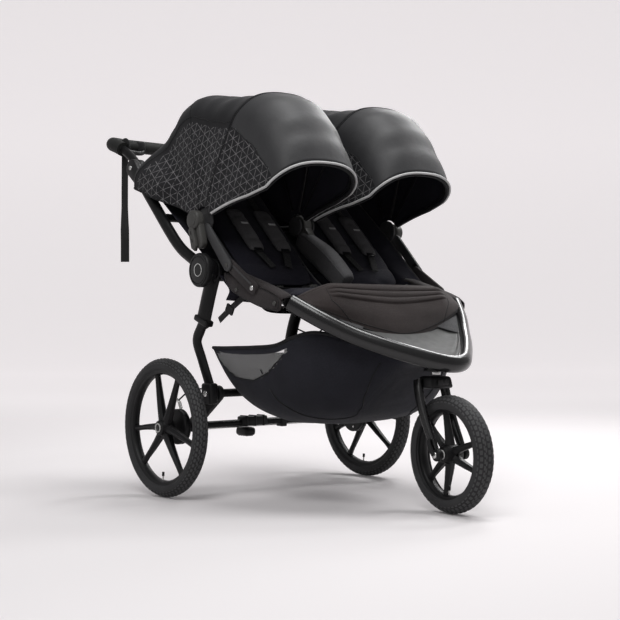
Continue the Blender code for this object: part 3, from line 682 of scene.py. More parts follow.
def wheel(name, centre, radius, width, body, out_side, first_pair, hub_half, turn_z=0.0):
    """Tyre, rim, spokes in three pairs, hub, cap and valve."""
    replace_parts(tyre("tyre_%s_tread" % name, centre, radius, width, body, turn_z), "tyre_" + name)
    seat = radius - 0.0358
    profile = [(seat + 0.0020, 0.0145), (seat + 0.0050, 0.0150), (seat + 0.0050, 0.0130),
               (seat - 0.0010, 0.0120),
               (seat - 0.0035, 0.0060), (seat - 0.0035, -0.0060), (seat - 0.0010, -0.0120),
               (seat + 0.0050, -0.0130),
               (seat + 0.0050, -0.0150), (seat + 0.0020, -0.0145), (seat - 0.0075, -0.0120),
               (seat - 0.0115, -0.0060), (seat - 0.0115, 0.0060), (seat - 0.0075, 0.0120)]
    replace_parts(lathe("rim_%s_well" % name, centre, profile, PLASTIC, body, 96, turn_z), "rim_" + name)
    bm = bmesh.new()
    for pair in range(3):
        middle = math.radians(first_pair + 120 * pair)
        for sign in (-1, 1):
            spoke_mesh(bm, middle + sign * SPOKE_SPREAD[0], HUB_RADIUS * 0.55,
                       middle + sign * SPOKE_SPREAD[1], seat - 0.0090, (0.021, 0.0125), (0.030, 0.016))
    place_in(bm, centre, turn_z)
    mesh_piece("spokes_" + name, bm, PLASTIC, body, 35)
    half_hub = [(0.0005, hub_half), (HUB_RADIUS * 0.62, hub_half), (HUB_RADIUS * 0.80, hub_half - 0.003),
                (HUB_RADIUS * 0.86, hub_half - 0.009), (HUB_RADIUS, hub_half - 0.016)]
    hub = half_hub + [(r, -x) for r, x in reversed(half_hub)]
    lathe("hub_" + name, centre, hub, PLASTIC, body, 48, turn_z)
    turn = Matrix.Rotation(turn_z, 3, "Z")
    for side in ((out_side,) if out_side else (-1, 1)):
        face = centre + turn @ Vector((side * (hub_half + 0.0008), 0, 0))
        lathe("hub_ring_%s_%s" % (name, "ab"[side > 0]), face, flat_ring(0.0108, 0.0128, 0.0016), WHITE_RING,
              body, 40, turn_z)
        cap = [(0.0004, 0.0022), (0.0060, 0.0020), (0.0092, 0.0006), (0.0096, -0.0016), (0.0004, -0.0016)]
        if side < 0:
            cap = [(r, -x) for r, x in cap][::-1]
        lathe("hub_cap_%s_%s" % (name, "ab"[side > 0]), face, cap, SMOOTH_PLASTIC, body, 40, turn_z)
    down = Vector((0, math.cos(VALVE_ANGLE), math.sin(VALVE_ANGLE)))
    foot, head = (centre + turn @ (down * reach) for reach in (seat - 0.008, seat - 0.036))
    neck = foot.lerp(head, 0.35)
    wire("valve_stem_" + name, [foot, neck, head], 0.0024, BRIGHT, body)
    wire("valve_cap_" + name, [foot.lerp(head, 0.55), foot.lerp(head, 0.97)], 0.0038, PLASTIC, body)


def steered(x, y, z):
    """A place on the fork, turned with the front wheel as it stands at rest."""
    flat = Matrix.Rotation(STEER_REST, 3, "Z") @ Vector((x, y - STEER_Y, 0))
    return P(flat.x, flat.y + STEER_Y, z)


def build_wheels():
    for name, side in SIDES:
        wheel("rear_" + name, P(side * REAR_WHEEL_X, 0, REAR_RADIUS), REAR_RADIUS, 0.044,
              "rear_wheel_" + name, side, 96 if side < 0 else 80, REAR_HUB_HALF)
    wheel("front", steered(0, FRONT_HUB_Y, FRONT_RADIUS), FRONT_RADIUS, 0.054, "front_wheel", 0, 60,
          FRONT_HUB_HALF, STEER_REST)


# ---------------------------------------------------------------- frame
# Half of the front tube, from its left end to the middle.
FRONT_LINE = ((0.313, -0.481, 0.5525), (0.268, -0.547, 0.508), (0.213, -0.609, 0.467), (0.150, -0.676, 0.434),
              (0.087, -0.734, 0.408), (0.045, -0.766, 0.394), (0.0, -0.777, 0.389))
RAIL_X, UPRIGHT_X, REAR_LEG_X = 0.318, 0.368, 0.342


def build_front_frame():
    rim = swept("front_tube_glossy", route(both_sides(FRONT_LINE)), section_round(0.034, 0.046, 28), PAINT,
                "front_frame")
    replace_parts(rim, "front_tube")
    for name, side in SIDES:
        line = [(side * (RAIL_X - 0.012 * (FOLD[0] - y) / 0.3), y, z)
                for y, z in (FOLD, (-0.280, 0.6165), (-0.377, 0.588), (-0.470, 0.5565))]
        rail = swept("seat_rail_%s_tube" % name, route(line), section_round(0.027, 0.027), SATIN_PAINT,
                     "front_frame")
        disc("seat_rail_%s_knuckle" % name, P(side * RAIL_X, *FOLD), 0.030, 0.019, PLASTIC, "front_frame")
        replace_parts(rail, "seat_rail_" + name)
        bolt_line = [P(side * RAIL_X, -0.480, 0.553), P(side * 0.3145, -0.462, 0.5605)]
        wire("tube_insert_" + name, bolt_line, 0.0155, PLASTIC, "front_frame", 20)
    for y, z in ((-0.300, 0.536), (-0.462, 0.5405)):
        rivet("centre_bolt_%d" % (-1000 * y), P(0.0125, y, z), 1, "front_frame", 0.0045)


def build_steering():
    plate = disc("steering_plate", P(0, STEER_Y, 0.3725), 0.0305, 0.0080, PLASTIC, "front_frame", 0.002,
                 axis="Z")
    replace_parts(plate, "steering_head")
    block("steering_arm", P(0, -0.733, 0.3730), (0.038, 0.052, 0.008), PLASTIC, "front_frame", 0.002)
    disc("steering_stem", P(0, STEER_Y, 0.3640), 0.0130, 0.0090, BRIGHT, "front_frame", 0.001, axis="Z")
    crown = block("fork_crown_housing", steered(0, -0.703, 0.3400), (0.078, 0.066, 0.032), PLASTIC,
                  "steering", 0.008, taper=0.86, turn_z=STEER_REST)
    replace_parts(crown, "fork_crown")
    block("fork_crown_window", steered(0, -0.7365, 0.3400), (0.034, 0.003, 0.014), SMOOTH_PLASTIC, "steering",
          0.001, turn_z=STEER_REST)
    for name, side in SIDES:
        section = section_box(0.0150, 0.0310, 0.006)
        line = [(side * 0.0395, -0.682, 0.346), (side * 0.0440, -0.688, 0.325),
                (side * 0.0455, -0.700, 0.285),
                (side * 0.0460, -0.722, 0.235), (side * 0.0455, -0.748, 0.185),
                (side * 0.0445, -0.7645, 0.155)]
        path = [steered(*p) for p in curved(line)]
        count = len(path)
        scales = [(1 - 0.12 * i / count, 1 - 0.34 * i / count) for i in range(count)]
        leg = swept("fork_leg_%s_blade" % name, path, section, PAINT, "fork", up=(0, -1, 0.25), scales=scales)
        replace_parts(leg, "fork_leg_" + name)
        disc("fork_end_" + name, steered(side * 0.0445, FRONT_HUB_Y, FRONT_RADIUS), 0.0165, 0.014, PLASTIC,
             "fork", 0.003, turn_z=STEER_REST)
        disc("axle_nut_" + name, steered(side * 0.0535, FRONT_HUB_Y, FRONT_RADIUS), 0.0085, 0.006, BRIGHT,
             "fork", 0.0015, 6 if side > 0 else 24, turn_z=STEER_REST)
    lever = [steered(-0.058, FRONT_HUB_Y, FRONT_RADIUS),
             steered(-0.060, FRONT_HUB_Y + 0.012, FRONT_RADIUS + 0.020),
             steered(-0.058, FRONT_HUB_Y + 0.020, FRONT_RADIUS + 0.040)]
    swept("quick_release_lever", curved(lever, 5), section_box(0.012, 0.005, 0.002), PLASTIC, "fork",
          up=(1, 0, 0))


def build_upper_frame():
    for name, side in SIDES:
        x = side * UPRIGHT_X
        line = [(x, *FOLD), (x, -0.110, 0.682), (x, -0.0286, 0.733), (x, 0.104, 0.867), (x, 0.172, 0.938)]
        upright = swept("upright_%s_tube" % name, route(line, per_span=10), section_round(0.0310, 0.0330, 24),
                        SATIN_PAINT, "upper_frame")
        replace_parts(upright, "upright_" + name)
        slab("upright_%s_end" % name, arm_outline((0.158, 0.924), HANDLE_PIVOT, 0.0185, 0.0270), x, 0.020,
             PLASTIC, "upper_frame", 0.003)
        rivet("handle_rivet_" + name, P(side * 0.3785, *HANDLE_PIVOT), side, "upper_frame", 0.007)
        disc("upright_%s_knuckle" % name, P(x, *FOLD), 0.036, 0.020, PLASTIC, "upper_frame", 0.003)
        cover = disc("hinge_cover_" + name, P(side * 0.3885, *FOLD), 0.0480, 0.020, PLASTIC, "upper_frame",
                     0.004, 64)
        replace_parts(cover, "hinge_disc_" + name)
        lathe("hinge_ring_" + name, P(side * 0.3990, *FOLD), flat_ring(0.0395, 0.0425, 0.0010, 0.0014),
              SMOOTH_PLASTIC, "upper_frame", 64)
        disc("hinge_centre_" + name, P(side * 0.3985, *FOLD), 0.0365, 0.0030, SMOOTH_PLASTIC, "upper_frame",
             0.001, 64)
        lathe("hinge_mark_" + name, P(side * 0.4002, *FOLD), flat_ring(0.0165, 0.0180, 0.0006), WHITE_RING,
              "upper_frame", 48)
        build_mount(name, side)
    cross = swept("upper_cross_tube", [P(-0.3527, 0.048, 0.811), P(0.3527, 0.048, 0.811)],
                  section_round(0.024, 0.024), SATIN_PAINT, "upper_frame")
    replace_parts(cross, "upper_crossframe")
    post = route([(0, 0.048, 0.811), (0, -0.030, 0.790), (0, -0.112, 0.786)])
    swept("centre_post", post, section_round(0.020, 0.020), SATIN_PAINT, "upper_frame")


def build_mount(name, side):
    """The canopy's ratchet knob, its bracket and the accessory block below it."""
    knob = disc("canopy_knob_" + name, P(side * 0.385, *PIVOT), 0.0270, 0.026, GREY, "upper_frame", 0.005, 40)
    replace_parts(knob, "canopy_mount_" + name)
    disc("canopy_knob_cap_" + name, P(side * 0.3985, *PIVOT), 0.0185, 0.003, GREY, "upper_frame", 0.0012, 40)
    slab("canopy_bracket_" + name, arm_outline(PIVOT, (-0.171, 0.724), 0.0200, 0.0165), side * 0.380, 0.019,
         GREY, "upper_frame", 0.003)
    slab("accessory_block_" + name, arm_outline((-0.143, 0.762), (-0.158, 0.712), 0.0120, 0.0120, 2),
         side * 0.3935, 0.011, GREY, "upper_frame", 0.002)
    for step in range(2):
        y, z = -0.1450 - 0.0065 * step, 0.752 - 0.022 * step
        block("accessory_slot_%s_%d" % (name, step), P(side * 0.3995, y, z), (0.0012, 0.0100, 0.0030),
              PLASTIC, "upper_frame", 0.0004, tilt=math.radians(72))


def build_centre_mount():
    hub = disc("centre_hub", P(0, *PIVOT), 0.0330, 0.0290, GREY, "upper_frame", 0.005, 48)
    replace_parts(hub, "canopy_mount_centre")
    slab("centre_hub_arm", arm_outline(PIVOT, (-0.180, 0.758), 0.0210, 0.0165), 0, 0.026, GREY, "upper_frame",
         0.004)
    for side in (-1, 1):
        lathe("centre_hub_ridge_%s" % "ab"[side > 0], P(side * 0.0145, *PIVOT),
              flat_ring(0.012, 0.022, 0.0012), PLASTIC, "upper_frame", 40)


GRIP_END = 0.298


def build_handlebar():
    for name, side in SIDES:
        line = [(0.345, 0.212, 0.979), (0.345, 0.262, 1.018), (0.344, 0.320, 1.050), (0.334, 0.372, 1.0665),
                (0.310, 0.398, 1.0715), (0.290, 0.406, 1.0720)]
        path = route(line, side)
        arm = swept("handle_arm_%s_tube" % name, path, section_round(0.027, 0.027, 24), SATIN_PAINT,
                    "handlebar")
        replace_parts(arm, "handle_arm_" + name)
        disc("handle_hub_" + name, P(side * 0.349, *HANDLE_PIVOT), 0.0275, 0.019, PLASTIC, "handlebar", 0.003,
             40)
        disc("handle_button_" + name, P(side * 0.3385, *HANDLE_PIVOT), 0.0130, 0.004, GREY, "handlebar",
             0.0015, 32)
        bend = [(0.347, 0.300, 1.042), (0.346, 0.338, 1.057), (0.338, 0.374, 1.067), (0.318, 0.398, 1.0715),
                (0.292, 0.407, 1.0720)]
        sleeve = route(bend, side)
        swept("handle_corner_" + name, sleeve, section_round(0.0440, 0.0440, 24), FOAM, "handlebar")
    bm = bmesh.new()
    rings = []
    count, around = 120, 28
    for i in range(count + 1):
        x = GRIP_END * (2 * i / count - 1)
        rounding = 0.80 + 0.20 * math.sqrt(max(0, min(1.0, (GRIP_END - abs(x)) / 0.006)))
        bow_back = 0.408 - 0.004 * (abs(x) / GRIP_END) ** 3
        ring = []
        for k in range(around):
            a = 2 * math.pi * k / around
            radius = 0.0205 * rounding + 0.00025 * math.sin(9 * a) * (1 if i % 2 else -1)
            ring.append(bm.verts.new(P(x, bow_back + radius * math.cos(a), 1.072 + radius * math.sin(a))))
        rings.append(ring)
    skin(bm, rings)
    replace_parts(mesh_piece("foam_grip", bm, FOAM, "handlebar", 0), "handle_grip")
    lever = route([(-0.215, 0.392, 1.056), (-0.240, 0.372, 1.047), (-0.275, 0.362, 1.045),
                   (-0.300, 0.350, 1.046)],
                  per_span=6)
    swept("hand_brake_lever", lever, section_box(0.010, 0.014, 0.003), PLASTIC, "handlebar")
    block("hand_brake_clamp", P(-0.226, 0.404, 1.069), (0.030, 0.040, 0.042), PLASTIC, "handlebar", 0.006)


STRAP_X = -0.330


def build_wrist_strap():
    """A flat webbing strap that hangs from the handle, with a folded and sewn end."""
    drop = [(STRAP_X, y, z) for y, z in ((0.318, 1.0315), (0.319, 0.98), (0.320, 0.90), (0.320, 0.82),
                                         (0.319, 0.76), (0.319, 0.694))]
    path = route(drop, per_span=5)
    section = section_box(0.0032, 0.0240, 0.0012)
    scales = []
    for i in range(len(path)):
        fold = max(0, min(1, (i - 12) / 5))
        scales.append((1.0 + 0.9 * fold, 0.85 + 0.25 * fold))
    strap = swept("wrist_strap_webbing", path, section, WEBBING, "handlebar", up=(0.77, -0.64, 0),
                  scales=scales)
    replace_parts(strap, "wrist_strap")
    length = path_length(path)
    wrap = [P(STRAP_X, 0.3185 + 0.0215 * math.cos(a), 1.0500 + 0.0215 * math.sin(a))
            for a in (2 * math.pi * i / 24 for i in range(23))]
    swept("wrist_strap_loop", wrap, section_box(0.0200, 0.0026, 0.001), WEBBING, "handlebar", up=(1, 0, 0))
    return strap, path, length


def build_rear_frame():
    for name, side in SIDES:
        spine = [(0.342, -0.1790, 0.640), (0.342, -0.160, 0.600), (0.341, -0.128, 0.520),
                 (0.340, -0.1215, 0.502),
                 (0.339, -0.106, 0.482), (0.336, -0.084, 0.448), (0.330, -0.098, 0.400),
                 (0.326, -0.118, 0.350), (0.321, -0.131, 0.312)]
        path = route(spine, side)
        scales = []
        for point in path:
            t = min(1, max(0, (point.z - 0.494) / 0.010))
            scales.append((0.86 + 0.14 * t, 0.60 + 0.40 * t))
        leg = swept("rear_leg_%s_tube" % name, path, section_round(0.0215, 0.0600, 28), SATIN_PAINT,
                    "rear_frame", up=(0, -1, 0.35), scales=scales)
        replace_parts(leg, "rear_leg_" + name)
        disc("rear_leg_%s_knuckle" % name, P(side * REAR_LEG_X, *FOLD), 0.033, 0.018, PLASTIC, "rear_frame",
             0.003)
        block("leg_collar_" + name, P(side * 0.340, -0.1225, 0.507), (0.030, 0.062, 0.018), PLASTIC,
              "rear_frame", 0.005, tilt=math.radians(22))
        block("suspension_block_" + name, P(side * 0.326, *SUSPENSION), (0.030, 0.046, 0.060), PLASTIC,
              "rear_frame", 0.007)
        disc("suspension_bolt_" + name, P(side * 0.3415, *SUSPENSION), 0.009, 0.004, BRIGHT, "rear_frame",
             0.0015, 24)
    low = swept("low_cross_tube", [P(-0.3125, *SUSPENSION), P(0.3125, *SUSPENSION)],
                section_round(0.0236, 0.0236), SATIN_PAINT, "rear_frame")
    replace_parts(low, "rear_crossframe")
    swept("hinge_cross_tube", [P(-0.303, *FOLD), P(0.303, *FOLD)], section_round(0.0236, 0.0236), SATIN_PAINT,
          "rear_frame")
    centre = [(0, -0.180, 0.640), (0, -0.150, 0.580), (0, -0.112, 0.505), (0, -0.092, 0.440),
              (0, -0.092, 0.370), (0, -0.126, 0.306)]
    swept("centre_leg_tube", route(centre), section_round(0.0330, 0.0360, 24), SATIN_PAINT, "rear_frame",
          up=(0, -1, 0.3))


def build_axle():
    bar = swept("axle_tube", [P(-0.3295, 0, REAR_RADIUS), P(0.3295, 0, REAR_RADIUS)],
                section_round(0.0205, 0.0205), SATIN_PAINT, "axle")
    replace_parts(bar, "axle_frame")
    for name, side in SIDES:
        slab("swing_arm_%s_forging" % name, arm_outline(SUSPENSION, (0, REAR_RADIUS), 0.0225, 0.0180),
             side * 0.297, 0.0165, PLASTIC, "axle", 0.003)
        drum = [(0.001, 0.0120), (0.030, 0.0120), (0.046, 0.0105), (0.0515, 0.0070), (0.0515, 0.0030),
                (0.0495, 0.0022), (0.0495, -0.0022), (0.0515, -0.0030), (0.0515, -0.0090), (0.0480, -0.0120),
                (0.001, -0.0120)]
        shell = lathe("brake_drum_%s_shell" % name, P(side * 0.3425, 0, REAR_RADIUS), drum, PLASTIC, "axle",
                      72)
        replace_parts(shell, "brake_drum_" + name)
        for k in range(6):
            a = math.pi / 3 * k + 0.3
            disc("drum_screw_%s_%d" % (name, k),
                 P(side * 0.3300, 0.036 * math.cos(a), REAR_RADIUS + 0.036 * math.sin(a)), 0.0035, 0.003,
                 BRIGHT, "axle", 0.0008, 12)
        arm = route([(0.331, 0.006, 0.251), (0.329, 0.020, 0.272), (0.328, 0.030, 0.276)], side, 5)
        swept("brake_arm_" + name, arm, section_box(0.004, 0.012, 0.001), BRIGHT, "axle", up=(0, 1, 0.5))
    rod = wire("brake_rod_wire", [P(-0.318, 0.0305, 0.186), P(0, 0.0305, 0.1855), P(0.318, 0.0305, 0.186)],
               0.0026, BRIGHT, "axle", 12)
    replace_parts(rod, "brake_rod")
    block("brake_bracket_body", P(-0.075, 0, 0.2045), (0.094, 0.033, 0.029), PLASTIC, "axle", 0.005)
    for step in range(3):
        block("brake_bracket_rib_%d" % step, P(-0.107 + 0.032 * step, 0, 0.2050), (0.006, 0.036, 0.033),
              PLASTIC, "axle", 0.002)
    block("rod_clip_body", P(0.040, 0.002, 0.1965), (0.022, 0.030, 0.031), PLASTIC, "axle", 0.004)
    pedal = block("brake_pedal_pad", P(-0.098, 0.004, 0.1730), (0.038, 0.058, 0.025), PLASTIC,
                  "parking_brake", 0.009)
    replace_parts(pedal, "brake_pedal")
    for step in range(4):
        block("brake_pedal_rib_%d" % step, P(-0.098, -0.014 + 0.012 * step, 0.1602), (0.026, 0.003, 0.0025),
              GREY, "parking_brake", 0.0008)


# ---------------------------------------------------------------- canopies
def at_angle(table, angle):
    """The value at an angle, eased between the two entries of the table round it."""
    for (a, low), (b, high) in zip(table, table[1:]):
        if angle <= b:
            t = max(0.0, (angle - a) / (b - a))
            t = t * t * (3 - 2 * t)
            return low + (high - low) * t
    return table[-1][1]


# The canopy by angle round its hub: reach of the crown in metres, the shoulder as a share of
# that reach, and how round the corner above the shoulder is.
CROWN = ((18, 0.372), (26, 0.388), (35, 0.378), (45, 0.376), (55, 0.384), (65, 0.398), (74, 0.398),
         (84, 0.374),
         (92, 0.358), (103, 0.366), (114, 0.391), (124, 0.398), (134, 0.390), (145, 0.376), (157, 0.366))
SHOULDER = ((20, 0.86), (60, 0.80), (90, 0.76), (112, 0.72), (128, 0.66), (142, 0.68), (157, 0.74))
ROUNDNESS = ((20, 0.50), (60, 0.62), (90, 0.75), (112, 0.80), (128, 0.92), (142, 0.90), (157, 0.80))
HALF_CANOPY = 0.1735
CANOPY_LEAN = 0.024
REAR_FLARE = 0.031
CANOPY_HUB = 0.038
LINING_GAP = 0.0042
SEAM_ANGLE = 112
RIM_ANGLE = 157


def eased(value):
    value = max(0.0, min(1.0, value))
    return value * value * (3 - 2 * value)


def canopy_point(u, angle, centre_x, shrink=0.0):
    """A place on the canopy: u runs from the near hub, 0, over the crown to the far hub, 1."""
    side = -1 if u < 0.5 else 1
    k = min(u, 1 - u) * 2
    crown = at_angle(CROWN, angle) - shrink
    shoulder = at_angle(SHOULDER, angle)
    corner = 0.56
    t = min(1.0, k / corner)
    half = HALF_CANOPY - shrink - CANOPY_LEAN * t * t
    if side * centre_x > 0:
        half += (REAR_FLARE + CANOPY_LEAN * t * t) * eased((50 - angle) / 22) * eased((t - 0.30) / 0.35)
    if k < corner:
        reach = CANOPY_HUB + (shoulder * crown - CANOPY_HUB) * t
        x = half - 0.0045 * math.sin(math.pi * t) * (0.6 + 0.4 * math.sin(math.radians(angle) * 9))
        lean = 0.0
    else:
        a = math.pi / 2 * (k - corner) / (1 - corner)
        x = half * math.cos(a) ** at_angle(ROUNDNESS, angle) if a < math.pi / 2 - 1e-6 else 0.0
        reach = crown * (shoulder + (1 - shoulder) * math.sin(a) ** 0.9)
        lean = math.sin(a)
    front = eased((angle - 138) / 18)
    middle = 1 - abs(angle - SEAM_ANGLE) / 16
    turn = front * 7.0 * (1 - lean) * min(1,
                                          reach / 0.2) + 4.0 * eased(middle) * (lean if lean < 0.5 else 0.5)
    turned = math.radians(angle + turn)
    y = PIVOT[0] + reach * math.cos(turned)
    z = PIVOT[1] + reach * math.sin(turned)
    ripple = 0.0008 * noise.noise(Vector((x * 9 * side, y * 14, z * 14))) * min(1.0, k * 3)
    return P(centre_x + side * (x + ripple), y, z + ripple)


def rope(bm, path, radius, sides=6):
    """A thin sewn welt: a small tube along a line of places on a cloth piece."""
    rings = []
    count = len(path)
    for i, point in enumerate(path):
        ahead = (path[min(i + 1, count - 1)] - path[max(i - 1, 0)]).normalized()
        side = ahead.cross(Vector((0.31, 0.17, 0.93))).normalized()
        lift = side.cross(ahead)
        rings.append([bm.verts.new(point + side * radius * math.cos(a) + lift * radius * math.sin(a))
                      for a in (2 * math.pi * k / sides for k in range(sides))])
    skin(bm, rings)


def arch(angle, centre_x, shrink, steps, end=0.012):
    """A line over a canopy from hub to hub, left short by end at each."""
    return [canopy_point(end + (1 - 2 * end) * i / steps, angle, centre_x, shrink) for i in range(steps + 1)]


def canopy_seams(centre_x, first, last, steps, visor):
    """The sewn lines of a canopy cloth, a little above it."""
    seams = []
    if visor:
        for mirror in (0, 1):
            line = []
            for j in range(steps + 1):
                u = 0.27 + 0.045 * j / steps
                angle = first + (last - first) * j / steps
                line.append(canopy_point(1 - u if mirror else u, angle, centre_x, -0.0008))
            seams.append(line)
        seams.append(arch(first + 0.6, centre_x, -0.0008, 90, 0.02))
        return seams
    for angle in (73, last - 0.8):
        seams.append(arch(angle, centre_x, -0.0006, 90, 0.02))
    seams.append(arch(first + 0.4, centre_x, -0.0010, 90, 0.02))
    for u in (0.29, 1 - 0.29):
        seams.append([canopy_point(u, first + (last - first) * j / steps, centre_x, -0.0006)
                      for j in range(steps + 1)])
    return seams


def canopy_cloth(name, side, first, last, steps, across, start, end, visor):
    """One cloth of a canopy between two angles, with its lining and its seams."""
    centre_x = side * CANOPY_X
    rows, inside = [], []
    for j in range(steps + 1):
        angle = first + (last - first) * j / steps
        rows.append([canopy_point(i / across, angle, centre_x) for i in range(across + 1)])
        angle = first + 0.4 + (last - first - 0.8) * j / steps
        inside.append([canopy_point(i / across, angle, centre_x, LINING_GAP) for i in range(across + 1)])
    bm = bmesh.new()
    made = [[bm.verts.new(p) for p in row] for row in rows]
    for j, (a, b) in enumerate(zip(made, made[1:])):
        edge = 0.27 + 0.045 * (j + 0.5) / steps if visor else 0.275
        for i in range(across):
            face = bm.faces.new((a[i], a[i + 1], b[i + 1], b[i]))
            u = (i + 0.5) / across
            if min(u, 1 - u) > edge:
                face.material_index = 1 if visor else 2
    cloth = mesh_piece(name, bm, CANOPY_CLOTH, None, 0)
    cloth.data.materials.append(VISOR_CLOTH)
    cloth.data.materials.append(PLAIN_CLOTH)
    thicken(cloth, 0.0012)
    lining = grid_piece(name + "_lining", inside, LINING, None, 0.0008)
    bm = bmesh.new()
    for line in canopy_seams(centre_x, first, last, steps, visor):
        rope(bm, line, 0.0013)
    welts = mesh_piece(name + "_seams", bm, BINDING, None, 60)
    for piece in (cloth, lining, welts):
        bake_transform(piece)
    return cloth


def bow(name, side, angle, shrink, radius, body, material=PLASTIC, steps=80):
    return wire(name, arch(angle, side * CANOPY_X, shrink, steps), radius, material, body, 12)


def build_canopies():
    for name, side in SIDES:
        hub, front = "canopy_hub_" + name, "canopy_front_" + name
        centre_x = side * CANOPY_X
        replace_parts(bow("canopy_bow_" + name, side, SEAM_ANGLE, 0.0100, 0.0040, hub),
                    "canopy_mid_bow_" + name)
        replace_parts(bow("canopy_rim_wire_" + name, side, 155.2, 0.0085, 0.0036, front),
                    "canopy_front_bow_" + name)
        bow("canopy_rib_" + name, side, 134, 0.0090, 0.0028, front)
        bow("canopy_back_bow_" + name, side, 73, 0.0090, 0.0032, "upper_frame")
        rear = canopy_cloth("canopy_cover_%s_rear" % name, side, 20, SEAM_ANGLE, 46, 96,
                            canopy_point(0.5, 48, centre_x), canopy_point(0.5, SEAM_ANGLE - 1, centre_x),
                            False)
        visor = canopy_cloth("canopy_cover_%s_visor" % name, side, SEAM_ANGLE, RIM_ANGLE, 26, 96,
                             canopy_point(0.5, SEAM_ANGLE + 1, centre_x),
                             canopy_point(0.5, 150, centre_x), True)
        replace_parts(rear, "canopy_rear_" + name)
        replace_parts(visor, "canopy_front_" + name)
        bow("canopy_piping_" + name, side, RIM_ANGLE + 0.4, -0.0016, 0.0034, front, PIPING, 110)
        bow("canopy_binding_" + name, side, RIM_ANGLE + 0.6, 0.0062, 0.0052, front, BINDING, 110)
        for inner in (0, 1):
            knob_x = side * (CANOPY_X + (HALF_CANOPY - 0.010) * (1 if inner == 0 else -1))
            disc("canopy_boss_%s_%d" % (name, inner), P(knob_x, *PIVOT), (0.036, 0.029)[inner], 0.007,
                 DARK_GREY, front, 0.002, 40)


# ---------------------------------------------------------------- seats
def cushion(name, centre, across, along, out, size, crown, material, body, puffs=(), seam_depth=0.004,
            cells=(36, 60), back=0.35):
    """A stuffed form that swells outwards, with sewn lines at the given shares of its half length."""
    width, length = size
    columns, rows = cells
    bm = bmesh.new()
    for face in (1, -1):
        grid = []
        for j in range(rows + 1):
            t = -1 + 2 * j / rows
            line = []
            for i in range(columns + 1):
                s = -1 + 2 * i / columns
                px = math.sin(s * math.pi / 2)
                py = math.sin(t * math.pi / 2)
                corner = 1 - 0.10 * (px * py) ** 4
                edge = max(0.0, (1 - px ** 6)) ** 0.5 * max(0.0, (1 - py ** 6)) ** 0.5
                height = crown * edge * (0.72 + 0.28 * (1 - px * px) * (1 - py * py))
                for line_t in puffs:
                    height -= seam_depth * math.exp(-((py - line_t) * length / 2 / 0.0055) ** 2) * edge
                spot = Vector((px * width / 2 * corner, py * length / 2 * corner, 0))
                height += 0.0012 * noise.noise(Vector((spot.x * 22, spot.y * 22, centre[0] * 9))) * edge
                height *= 1 if face > 0 else -back
                line.append(bm.verts.new(centre + across * spot.x + along * spot.y + out * height))
            grid.append(line)
        for a, b in zip(grid, grid[1:]):
            for i in range(columns):
                quad = (a[i], a[i + 1], b[i + 1], b[i])
                bm.faces.new(quad if face > 0 else quad[::-1])
    bmesh.ops.remove_doubles(bm, verts=bm.verts, dist=0.0002)
    return mesh_piece(name, bm, material, body, 0)


def puff_up(obj, pressure=4.0, frames=18, cap=0.010):
    """Inflates a closed cushion with a short cloth simulation, held near its drawn shape."""
    before = [v.co.copy() for v in obj.data.vertices]
    body = obj.parent
    world = obj.matrix_world.copy()
    obj.parent = None
    obj.matrix_world = Matrix.Identity(4)
    cloth = obj.modifiers.new("cloth", "CLOTH")
    cloth.settings.use_pressure = True
    cloth.settings.uniform_pressure_force = pressure
    cloth.settings.effector_weights.gravity = 0
    cloth.settings.quality = 4
    cloth.settings.tension_stiffness = 25
    cloth.settings.bending_stiffness = 0.4
    cloth.point_cache.frame_start = 1
    cloth.point_cache.frame_end = frames
    for frame_number in range(1, frames + 1):
        bpy.context.scene.frame_set(frame_number)
    apply_modifiers(obj)
    bpy.context.scene.frame_set(1)
    for vert, start in zip(obj.data.vertices, before):
        move = vert.co - start
        if move.length > cap:
            vert.co = start + move.normalized() * cap
    obj.parent = body
    obj.matrix_world = world


SLOPE = math.sqrt(0.5)
UP_BACK = Vector((0, SLOPE, SLOPE))
OFF_BACK = Vector((0, -SLOPE, SLOPE))
WIDE = Vector((1, 0, 0))


def build_cushions(name, x):
    """The stuffed back and the stuffed pad of one seat."""
    seat_back, front = "seat_back_" + name, "front_frame"
    back = cushion("seat_back_%s_cushion" % name, P(x, -0.093, 0.791), WIDE, UP_BACK, OFF_BACK,
                   (0.262, 0.530), 0.017, SEAT_CLOTH, seat_back, puffs=(-0.72, -0.30, 0.22), seam_depth=0.006,
                   back=0.55)
    puff_up(back, 3.0, 12, 0.005)
    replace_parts(back, "seat_back_" + name)
    pad = cushion("seat_pad_%s_cushion" % name, P(x, -0.402, 0.571), WIDE, Vector((0, 1, 0)),
                  Vector((0, 0, 1)), (0.246, 0.180), 0.019, SEAT_CLOTH, front, puffs=(-0.35, 0.30),
                  seam_depth=0.004, cells=(40, 30), back=0.6)
    puff_up(pad, 3.0, 12, 0.005)
    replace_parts(pad, "seat_pad_" + name)


